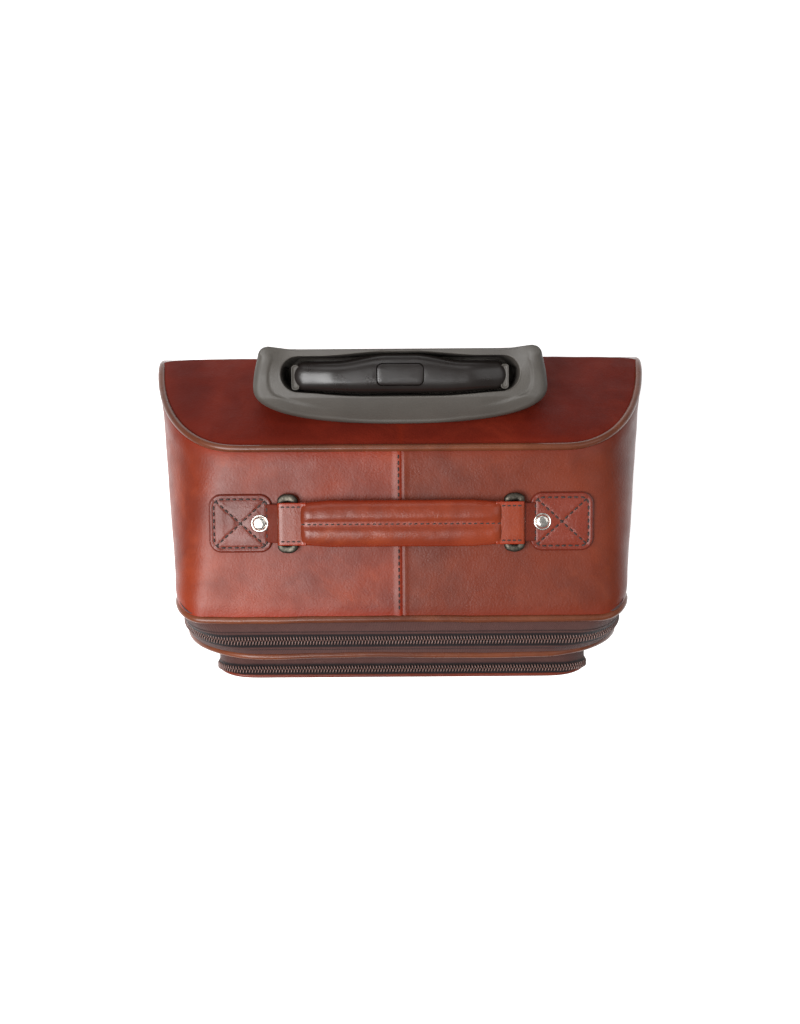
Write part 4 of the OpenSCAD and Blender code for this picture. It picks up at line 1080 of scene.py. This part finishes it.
def make_tab(side):
    patch = make_patch(side)
    r = WIRE_R + 0.95 * MM
    path = wrap_path(side * RING_OUT, RING_Z, r, side * (PATCH_X - PATCH_W / 2 + 5 * MM),
                     TOP + 2.2 * MM, TOP + 1.0 * MM)
    name = side_name(side)
    ribbon(f"tab_loop_{name}", path, 34 * MM, 1.5 * MM, "case", leather_patch,
           HANDLE_Y)
    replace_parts(patch, f"handle_tab_{name}")
    top = TOP + 3.0 * MM
    centre = (side * RIVET_X, HANDLE_Y, top)
    dome = [(7.8, -0.9), (7.8, 0.3), (7.5, 0.8), (7.0, 1.0), (6.5, 0.9), (6.2, 0.4), (6.1, -0.2),
            (5.5, -0.2), (5.4, 0.8), (5.1, 1.35), (4.4, 1.65), (3.2, 1.85), (1.8, 1.95), (0.6, 2.0)]
    lathe(f"rivet_{name}", [(r * MM, h * MM) for r, h in dome], centre, "case", nickel)


on_both_sides(make_tab)
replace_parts(bpy.data.objects["rivet_left"], "handle_rivets")


def make_ring(side):
    """A cast wire ring, heavier at its two exposed ends, with a hammered surface."""
    name = side_name(side)
    half_l = (RING_OUT - RING_IN) / 2
    half_w = (high("ring_right")[1] - low("ring_right")[1]) / 2 - WIRE_R
    loop = rounded_rect(2 * half_l, 2 * half_w, 4.2 * MM, 8)
    path = level(loop, RING_Z, side * (RING_IN + half_l), HANDLE_Y)
    path = smooth_path(resample(path, 1.2 * MM, True), 3, True)
    end = np.clip((np.abs(path[:, 1] - HANDLE_Y) - (half_w - 5 * MM)) / (3 * MM), 0, 1)
    t = tangents(path, True)
    u = np.tile((0.0, 0.0, 1.0), (len(path), 1))
    v = np.cross(t, u)
    a = turn(16)
    wide = 2.5 * MM + 1.1 * MM * end
    tall = 2.5 * MM + 0.5 * MM * end
    ca, sa = superellipse(a, 0.75)
    pts = (path[:, None] + (tall[:, None] * ca)[..., None] * u[:, None]
           + (wide[:, None] * sa)[..., None] * v[:, None])
    bumps = 0.3 * MM * wobble(pts, 7 * MM, 61) * end[:, None]
    centre = path[:, None]
    out = (pts - centre) / np.linalg.norm(pts - centre, axis=2, keepdims=True)
    pts = pts + out * bumps[..., None]
    faces = grid_faces(len(path) + 1, 16, wrap=True, flip=True) % (len(path) * 16)
    obj = make_mesh(f"wire_ring_{name}", pts.reshape(-1, 3), faces, f"ring_{name}", pewter)
    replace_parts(obj, f"ring_{name}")


on_both_sides(make_ring)

PAD_HW = high("handle_pad")[0] + 2 * MM
PAD_LOW = low("handle_pad")[2]
PAD_TOP = high("handle_pad")[2] + 1.5 * MM
PAD_HD = 20.5 * MM


def make_pad():
    """The padded grip: two stuffed rolls either side of a sewn middle line."""
    x = PAD_HW * np.sin(np.linspace(-math.pi / 2, math.pi / 2, 121))
    a = turn(72)
    xx, aa = np.meshgrid(x, a, indexing="ij")
    end = np.clip((PAD_HW - np.abs(xx)) / (9 * MM), 0, 1)
    close = np.sqrt(1 - (1 - end) ** 2)
    depth = PAD_HD * (0.9 + 0.1 * np.clip((PAD_HW - np.abs(xx)) / (25 * MM), 0, 1))
    cy, sz = superellipse(aa, 0.72)
    cy = cy * depth
    mid_z = (PAD_LOW + PAD_TOP) / 2 - 1.5 * MM
    tall = np.where(sz > 0, PAD_TOP - mid_z, mid_z - PAD_LOW)
    z = mid_z + sz * tall * (0.35 + 0.65 * close)
    middle_line = np.exp(-(cy / (4.2 * MM)) ** 2) * (sz > 0)
    crease = np.exp(-(cy / (1.1 * MM)) ** 2) * (sz > 0)
    z = z - middle_line * 2.4 * MM * close - crease * 0.35 * MM
    pts = np.stack([xx, HANDLE_Y + cy * (0.97 + 0.03 * close), z], -1)
    pts += np.stack([0 * xx, 0 * xx, np.ones_like(xx)], -1) * (
        0.3 * MM * wobble(pts, 42 * MM, 71))[..., None]
    edge = np.clip(np.exp(-np.abs(cy) / (1.4 * MM)) * 0.2 + np.abs(np.cos(aa)) ** 8 * 0.9, 0, 1)
    obj = ring_mesh(pts, "handle_grip_pad", "carry_handle", leather_strap,
                    cap_first=True, edge=np.r_[edge.ravel(), 0, 0])
    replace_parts(obj, "handle_pad")
    i = np.arange(3, 118)
    j = int(np.argmin(np.abs(a - math.pi / 2)))
    handle_stitches.run(on_surface(pts[i, j], obj, 0.25 * MM), slant=0.12)


make_pad()


def make_chape(side):
    """The end of the handle: leather wrapped round the ring's inner bar and sewn at its edges."""
    name = side_name(side)
    top = RING_Z + 6.0 * MM
    outer = RING_OUT + 1.6 * MM
    inner = PAD_HW - 5 * MM
    x = np.array([inner, inner + 3 * MM, RING_IN, RING_OUT - 2 * MM, outer - 0.6 * MM, outer,
                  outer - 0.4 * MM, outer - 2.2 * MM, RING_IN + 1 * MM, RING_IN - 3.6 * MM, inner])
    z = np.array([PAD_TOP - 4.3 * MM, top - 0.2 * MM, top, top, top - 0.5 * MM, top - 1.3 * MM,
                  top - 1.9 * MM, top - 2.0 * MM, top - 2.0 * MM, RING_Z - 3.6 * MM,
                  RING_Z - 3.4 * MM])
    path = np.stack([side * x, z], -1)
    strap = ribbon(f"chape_{name}", path, 37.5 * MM, 1.6 * MM, "carry_handle", leather_strap,
           HANDLE_Y, edge_soft=1.2 * MM)
    for y in (-15.2 * MM, 15.2 * MM):
        line = np.array([[side * (inner + 4 * MM), HANDLE_Y + y, top + 0.75 * MM],
                         [side * (outer - 1.5 * MM), HANDLE_Y + y, top + 0.75 * MM]])
        handle_stitches.run(on_surface(line, strap, 0.25 * MM))


on_both_sides(make_chape)
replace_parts(bpy.data.objects["chape_left"], "handle_loops")

seam_y = np.linspace(FRONT_Y + 6 * MM, SHOULDER_Y - 6 * MM, 40)
case_stitches.run(on_surface(np.stack([np.full(40, -2.1 * MM), seam_y, np.full(40, TOP)], -1),
                             gusset_skin, 0.25 * MM))
case_stitches.make(thread)
handle_stitches.make(thread)


# ---------- Trolley housing, grip and button ----------
BEZEL_HW = high("trolley_bezel")[0]
BEZEL_REAR = high("trolley_bezel")[1]
BEZEL_LIP = low("trolley_bezel")[1]
BEZEL_LOW = low("trolley_bezel")[2]
TUBE_Y = middle("outer_tubes")[1]
RECESS_Z = high("outer_tube_collars")[2]
GRIP_HW = high("grip_upper_shell")[0]
GRIP_TOP = high("grip_upper_shell")[2]
GRIP_LOW = low("grip_lower_shell")[2]
RECESS_HW = GRIP_HW + 11 * MM
RECESS_FRONT = TUBE_Y - 17.5 * MM
RECESS_REAR = TUBE_Y + 17.5 * MM
FLANGE_Z = TOP - 5 * MM
SCREW_X, SCREW_Z = BEZEL_HW - 26 * MM, BEZEL_LOW + 12 * MM


def smoothstep(x, a, b):
    t = np.clip((x - a) / (b - a), 0, 1)
    return t * t * (3 - 2 * t)


def polar_resample(loop, centre, count):
    """Points of a star-shaped loop at even angles about a centre."""
    d = loop - centre
    a = np.unwrap(np.arctan2(d[:, 1], d[:, 0]))
    order = np.argsort(a)
    a, p = a[order], loop[order]
    a = np.r_[a - 2 * math.pi, a, a + 2 * math.pi]
    p = np.vstack([p, p, p])
    want = turn(count)
    return np.stack([np.interp(want, a, p[:, 0]), np.interp(want, a, p[:, 1])], -1)


def shoulder_surface(y):
    return np.where(y < REAR_Y - 1 * MM, TOP - (y - SHOULDER_Y) * SLOPE, BEZEL_LOW)


def make_bezel():
    """The moulded housing that sits on the shoulder: a swept lip, two ears and a deep recess."""
    centre = np.array([0.0, TUBE_Y])
    wide_y = BEZEL_LIP + 33 * MM
    power = 2 / 2.43
    a = np.radians(np.linspace(180, 360, 161))
    c, s = superellipse(a, power)
    front = np.stack([BEZEL_HW * c, wide_y - (wide_y - BEZEL_LIP) * np.abs(s)], -1)
    ear = [(BEZEL_HW - 1.5 * MM, wide_y + 12 * MM), (BEZEL_HW - 4 * MM, wide_y + 22 * MM),
           (BEZEL_HW - 7 * MM, BEZEL_REAR + 1 * MM), (BEZEL_HW - 12 * MM, BEZEL_REAR + 4.5 * MM),
           (BEZEL_HW - 19 * MM, BEZEL_REAR + 3.6 * MM), (BEZEL_HW - 27 * MM, BEZEL_REAR + 1.6 * MM),
           (BEZEL_HW - 40 * MM, BEZEL_REAR + 1.2 * MM)]
    ear = np.array(ear)
    back = np.vstack([ear, [[0, BEZEL_REAR + 1.2 * MM]], (ear * [-1, 1])[::-1]])
    outer = np.vstack([front, back])
    outer = resample(level(outer, 0.0), 1.5 * MM, True)
    outer = smooth_path(outer, 10, True)[:, :2]
    count = 420
    outer = polar_resample(outer, centre, count)
    depth = RECESS_REAR - RECESS_FRONT
    row = rounded_rect(2 * RECESS_HW, depth, 15 * MM, 12) + centre
    inner = resample(level(row, 0.0), 1.0 * MM, True)[:, :2]
    swell = 1 - smoothstep(np.abs(inner[:, 0]) / GRIP_HW, 0.15, 0.75)
    behind = inner[:, 1] > TUBE_Y
    inner[:, 1] += np.where(behind, 3.4 * MM * swell, 0)
    inner[:, 1] += np.where(
        behind, 0, 4.0 * MM * smoothstep(np.abs(inner[:, 0]) / RECESS_HW, 0.3, 1.0))
    inner = resample(level(inner, 0.0), 1.0 * MM, True)[:, :2]
    inner = polar_resample(inner, centre, count)
    inward = inner - outer
    room = np.linalg.norm(inward, axis=1, keepdims=True)
    inward = inward / room

    def flange(p):
        rise_y = np.clip((p[:, 1] - BEZEL_LIP) / (24 * MM), 0, 1)
        rise_y = rise_y * (1.25 - 0.25 * rise_y)
        front_z = TOP - (BEZEL_LIP - SHOULDER_Y) * SLOPE + 4.2 * MM
        z = front_z + (FLANGE_Z - front_z) * np.minimum(rise_y, 1)
        for s in (-1, 1):
            d = np.hypot(p[:, 0] - s * (BEZEL_HW - 12 * MM), (p[:, 1] - BEZEL_REAR + 3 * MM) * 0.8)
            z = z + 6 * MM * np.exp(-(d / (13 * MM)) ** 2)
        return z

    foot = shoulder_surface(outer[:, 1])
    levels = [level(outer, foot)]
    edge_r = np.clip((flange(outer) - foot) * 0.8, 2.0 * MM, 7 * MM)
    rear = np.clip((outer[:, 1] - RECESS_REAR) / (3 * MM), 0, 1)
    edge_r = edge_r * (1 - rear) + 2.0 * MM * rear
    for k in range(9):
        t = math.pi / 2 * k / 8
        p = outer + inward * (edge_r * (1 - math.cos(t)))[:, None]
        z = flange(outer + inward * edge_r[:, None]) - edge_r * (1 - math.sin(t))
        levels.append(level(p, np.maximum(z, foot + 0.3 * MM)))
    start = edge_r[:, None] / room
    end = 1 - 1.6 * MM / room
    for k in range(1, 22):
        p = outer + (inner - outer) * (start + (end - start) * k / 21)
        share = k / 21
        z = flange(p)
        angle = np.degrees(np.arctan2(p[:, 1] - TUBE_Y, np.abs(p[:, 0]) - 70 * MM))
        sector = np.exp(-((angle + 25) / 45) ** 2)
        z = z - 2.2 * MM * sector * (1 / (1 + math.exp(-(share - 0.38) * 40))) * (1 - 0.75 * share)
        levels.append(level(p, z))
    rim_z = flange(inner)
    for k in range(1, 6):
        t = math.pi / 2 * k / 5
        p = inner - inward * 1.6 * MM * (1 - math.sin(t))
        levels.append(level(p, rim_z - 1.6 * MM * (1 - math.cos(t))))
    for share in (0.15, 0.5, 0.9, 1.0):
        lean = np.where(inner[:, 1] > TUBE_Y + 8 * MM, 6.5, 2.0)[:, None]
        p = inner + inward * (share * lean * MM)
        z = rim_z + (RECESS_Z - rim_z) * share - 1.6 * MM * (1 - share)
        levels.append(level(p, z))
    for share in (0.85, 0.6, 0.3):
        levels.append(level(centre + (p - centre) * share, RECESS_Z))
    obj = ring_mesh(levels, "housing_shell", "case", bezel_plastic)
    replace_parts(obj, "trolley_bezel")


make_bezel()


def cut_window(obj, loop, margin, depth, surface):
    """Opens a hole with straight walls and a floor in the top of a piece, and joins it up."""
    bm = bmesh.new()
    bm.from_mesh(obj.data)
    reach = np.abs(loop - loop.mean(0)).max(0) + margin
    middle_y = loop.mean(0)[1]
    inside = [f for f in bm.faces if f.normal.z > 0.2 and all(
        abs(v.co.x) < reach[0] and abs(v.co.y - middle_y) < reach[1] for v in f.verts)]
    bmesh.ops.delete(bm, geom=inside, context="FACES")
    around = [e for e in bm.edges if len(e.link_faces) == 1]
    rings = []
    for drop in (0.0, 0.35 * MM, depth):
        z = surface(loop) - drop
        pull = loop.mean(0) + (loop - loop.mean(0)) * (1 - 0.012 * (drop > 0))
        rings.append([bm.verts.new((*q, h)) for q, h in zip(pull, z)])
    count = len(loop)
    rim = [bm.edges.new((rings[0][k], rings[0][(k + 1) % count])) for k in range(count)]
    for upper, lower in zip(rings, rings[1:]):
        for k in range(count):
            n = (k + 1) % count
            bm.faces.new((upper[k], upper[n], lower[n], lower[k]))
    bm.faces.new(rings[-1])
    bmesh.ops.bridge_loops(bm, edges=around + rim)
    bmesh.ops.recalc_face_normals(bm, faces=bm.faces[:])
    bm.to_mesh(obj.data)
    bm.free()
    obj.data.shade_smooth()
    obj.data.set_sharp_from_angle(angle=math.radians(38))


BUTTON_W = high("release_button")[0] - low("release_button")[0]
BUTTON_D = high("release_button")[1] - low("release_button")[1]
BUTTON_Y = middle("release_button")[1] + 1.2 * MM
GRIP_POWER = 0.78  # how square the grip's section is, from 1 for an ellipse to 0 for a box


def grip_edges(x):
    """Rear, front and top of the grip across its length."""
    s = np.abs(x) / GRIP_HW
    rear = TUBE_Y + 13 * MM + 6.2 * MM * (1 - smoothstep(s, 0.12, 0.62))
    front = TUBE_Y - 15 * MM + 2.5 * MM * smoothstep(s, 0.35, 1.0)
    top = GRIP_TOP - 1.0 * MM - 7 * MM * smoothstep(s, 0.62, 1.05)
    return rear, front, top


def grip_crown(p):
    """Height of the grip's upper surface over plan points."""
    rear, front, top = grip_edges(p[:, 0])
    t = np.clip(np.abs(p[:, 1] - (rear + front) / 2) / ((rear - front) / 2), 0, 0.999)
    arch = (1 - t ** (2 / GRIP_POWER)) ** (GRIP_POWER / 2)
    return (top + GRIP_LOW) / 2 + (top - GRIP_LOW) / 2 * arch


def make_grip():
    """The trolley grip: a bowed bar with a palm swell at the back of its middle."""
    s = np.sin(np.linspace(-math.pi / 2, math.pi / 2, 141))
    x = GRIP_HW * s
    t = turn(64)
    c, z_unit = superellipse(t, GRIP_POWER)
    rear, front, top = grip_edges(x)
    past = np.clip((np.abs(x) - GRIP_HW + 9 * MM) / (9 * MM), 0, 1)
    close = np.sqrt(np.clip(1 - past ** 2, 0.02, 1))
    mid_y = (rear + front) / 2
    half_d = (rear - front) / 2 * close
    half_h = (top - GRIP_LOW) / 2
    mid_z = (top + GRIP_LOW) / 2
    pts = np.stack([np.broadcast_to(x[:, None], (len(x), len(t))),
                    mid_y[:, None] + half_d[:, None] * c,
                    mid_z[:, None] + half_h[:, None] * (0.55 + 0.45 * close[:, None]) * z_unit], -1)
    obj = ring_mesh(list(pts), "trolley_grip", "trolley_upper", grip_plastic,
                    cap_first=True)
    hole = rounded_rect(BUTTON_W + 1.6 * MM, BUTTON_D + 3.0 * MM, 5 * MM, 8) + [0, BUTTON_Y]
    cut_window(obj, hole, 2.2 * MM, 7 * MM, grip_crown)
    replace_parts(obj, "grip_upper_shell", "grip_lower_shell")


def make_button():
    """The push button, a soft-edged plate that follows the grip's crown."""
    levels = []
    rim = 1.3 * MM
    w, d, r = BUTTON_W + 0.6 * MM, BUTTON_D + 2.0 * MM, 4.6 * MM
    base = rounded_rect(w, d, r, 8) + [0, BUTTON_Y]
    levels.append(level(base, GRIP_TOP - 7 * MM))
    for k in range(6):
        t = math.pi / 2 * k / 5
        inset = rim * (1 - math.cos(t))
        p = rounded_rect(w - 2 * inset, d - 2 * inset, r - inset, 8) + [0, BUTTON_Y]
        z = grip_crown(p) - 0.2 * MM - rim * 0.8 * (1 - math.sin(t))
        levels.append(level(p, z))
    for share in (0.8, 0.55, 0.3):
        p = (levels[6][:, :2] - [0, BUTTON_Y]) * share + [0, BUTTON_Y]
        levels.append(level(p, grip_crown(p) - 0.2 * MM))
    obj = ring_mesh(levels, "push_button", "button", grip_plastic, cap_first=True)
    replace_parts(obj, "release_button")


def make_end_plug(side):
    """The moulded plug that closes one end of the grip, with a raised rim."""
    x = side * (GRIP_HW - 1.5 * MM)
    levels = []
    for w, d, z in ((7, 22, -22), (7, 22, -10.4), (6.4, 21.4, -9.8), (5.2, 20.2, -9.8),
                    (4.8, 19.8, -10.6), (1.5, 16, -10.6)):
        loop = rounded_rect(w * MM, d * MM, min(w, d) * 0.42 * MM, 6)
        levels.append(level(loop, GRIP_TOP + z * MM, x, TUBE_Y - 1 * MM))
    ring_mesh(levels, f"grip_plug_{side_name(side)}", "trolley_upper",
              bezel_plastic, cap_first=True)


make_grip()
make_button()
on_both_sides(make_end_plug)


def make_wheel_box(side):
    """The lining's boxed cover over one wheel housing, inside the compartment."""
    spare = 3.6 * MM
    x0, x1 = NOTCH_X - spare, low("side_board_right")[0] + 0.4 * MM
    y0, y1 = NOTCH_Y - spare, low("back_board")[1] + 0.4 * MM
    z0, z1 = high("base_board")[2] - 0.4 * MM, NOTCH_Z + spare
    centre = np.array([side * (x0 + x1) / 2, (y0 + y1) / 2])
    soft = 4 * MM
    walls = rounded_rect(x1 - x0, y1 - y0, 7 * MM, 6) + centre
    levels = [level(walls, z) for z in np.linspace(z0, z1 - soft, 12)]
    for k in range(1, 6):
        t = math.pi / 2 * k / 5
        inset = soft * (1 - math.cos(t))
        loop = rounded_rect(x1 - x0 - 2 * inset, y1 - y0 - 2 * inset, 7 * MM - inset, 6) + centre
        levels.append(level(loop, z1 - soft + soft * math.sin(t)))
    for share in (0.7, 0.35):
        levels.append(level((loop - centre) * share + centre, z1 + 0.2 * MM))
    ring_mesh(levels, f"wheel_box_{side_name(side)}", "case", lining_cloth)


on_both_sides(make_wheel_box)


def make_screw_cup(side):
    """A dished steel cup washer round one housing screw, on the back of the trolley housing."""
    profile = [(7.0, -0.6), (7.0, 0.5), (6.4, 1.0), (5.6, 1.1), (4.6, 0.5), (3.9, -0.1), (3.8, 0.5),
               (3.2, 0.9), (1.9, 1.15), (1.2, 1.2), (1.0, 0.3), (0.4, 0.2)]
    a = turn(40)
    levels = [np.column_stack([side * SCREW_X + r * MM * np.cos(a),
                               np.full(40, BEZEL_REAR + 1.2 * MM + h * MM),
                               SCREW_Z - r * MM * np.sin(a)]) for r, h in profile]
    ring_mesh(levels, f"screw_cup_{side_name(side)}", "case", steel)


on_both_sides(make_screw_cup)


# ---------- CAD nodes that keep their shape ----------
rematerial(lining_cloth, "base_board", "top_board", "side_board_left", "side_board_right",
           "back_board", "shoulder_board", "corner_formers", "lid_board", "liner_panel")
rematerial(bezel_plastic, "wheel_housing_left", "wheel_housing_right", bevel_width=2.5 * MM)
rematerial(bezel_plastic, "outer_tube_collars", "mid_tube_collars", "tube_foot_bracket",
           "lock_blocks", bevel_width=0.4 * MM)
rematerial(hub_plastic, "hub_left", "hub_right", bevel_width=0.5 * MM)
rematerial(rubber, "tyre_left", "tyre_right")
rematerial(rubber, "front_feet", bevel_width=1.0 * MM)
rematerial(aluminium, "outer_tubes", "mid_tubes", "inner_tubes", "push_rods")
rematerial(steel, "bearings_left", "bearings_right", "wheel_axles", "case_screws", "grip_screws",
           "button_spring", "lock_pin_left", "lock_pin_right")
rematerial(pewter, "main_slider", "main_pull", "pocket_slider", "pocket_pull",
           bevel_width=0.3 * MM)


# ---------- Floor, light and camera ----------


def make_floor():
    n = Nodes("studio_floor")
    color = n.mix(n.span(n.noise(3, 3), 0.3, 0.7), (0.93, 0.93, 0.93), (0.95, 0.95, 0.95))
    material = n.finish(color, 0.8, Emission_Strength=0.75, Emission_Color=(1, 1, 1, 1))
    mesh = bpy.data.meshes.new("studio_floor")
    half = 6.0
    corners = [(x * half, y * half, 0) for x, y in ((-1, -1), (1, -1), (1, 1), (-1, 1))]
    mesh.from_pydata(corners, [], [(0, 1, 2, 3)])
    obj = add_object("studio_floor", mesh)
    mesh.materials.append(material)


def area_light(name, place, target, size, power):
    light = bpy.data.lights.new(name, "AREA")
    light.shape = "RECTANGLE"
    light.size, light.size_y = size
    light.energy = power
    obj = add_object(name, light)
    obj.location = place
    direction = np.array(target, float) - np.array(place, float)
    obj.rotation_euler = Vector(direction).to_track_quat("-Z", "Y").to_euler()


def make_camera():
    tilt = math.radians(6)
    distance = 1253.5 * MM
    target = np.array([0, REAR_Y - 133 * MM, TOP])
    data = bpy.data.cameras.new("camera")
    data.sensor_fit = "VERTICAL"
    data.sensor_height = 36
    data.lens = 50
    data.clip_start = 0.02
    obj = add_object("camera", data)
    obj.location = target + distance * np.array([0, math.sin(tilt), math.cos(tilt)])
    obj.rotation_euler = (-tilt, 0, math.radians(-0.4))
    bpy.context.scene.camera = obj


make_floor()
make_camera()
area_light("key", (-0.72, -0.2, 1.9), (0, 0, 0.35), (1.2, 1.0), 41)
area_light("fill", (1.1, 0.4, 1.7), (0, 0, 0.35), (1.2, 1.2), 5)
area_light("back", (-0.3, 1.4, 1.5), (0, 0.05, 0.35), (1.2, 0.6), 4)
world = bpy.data.worlds.new("studio")
world.use_nodes = True
world.node_tree.nodes["Background"].inputs["Color"].default_value = (1, 1, 1, 1)
world.node_tree.nodes["Background"].inputs["Strength"].default_value = 0.22
bpy.context.scene.world = world
bpy.context.scene.view_settings.view_transform = "Standard"
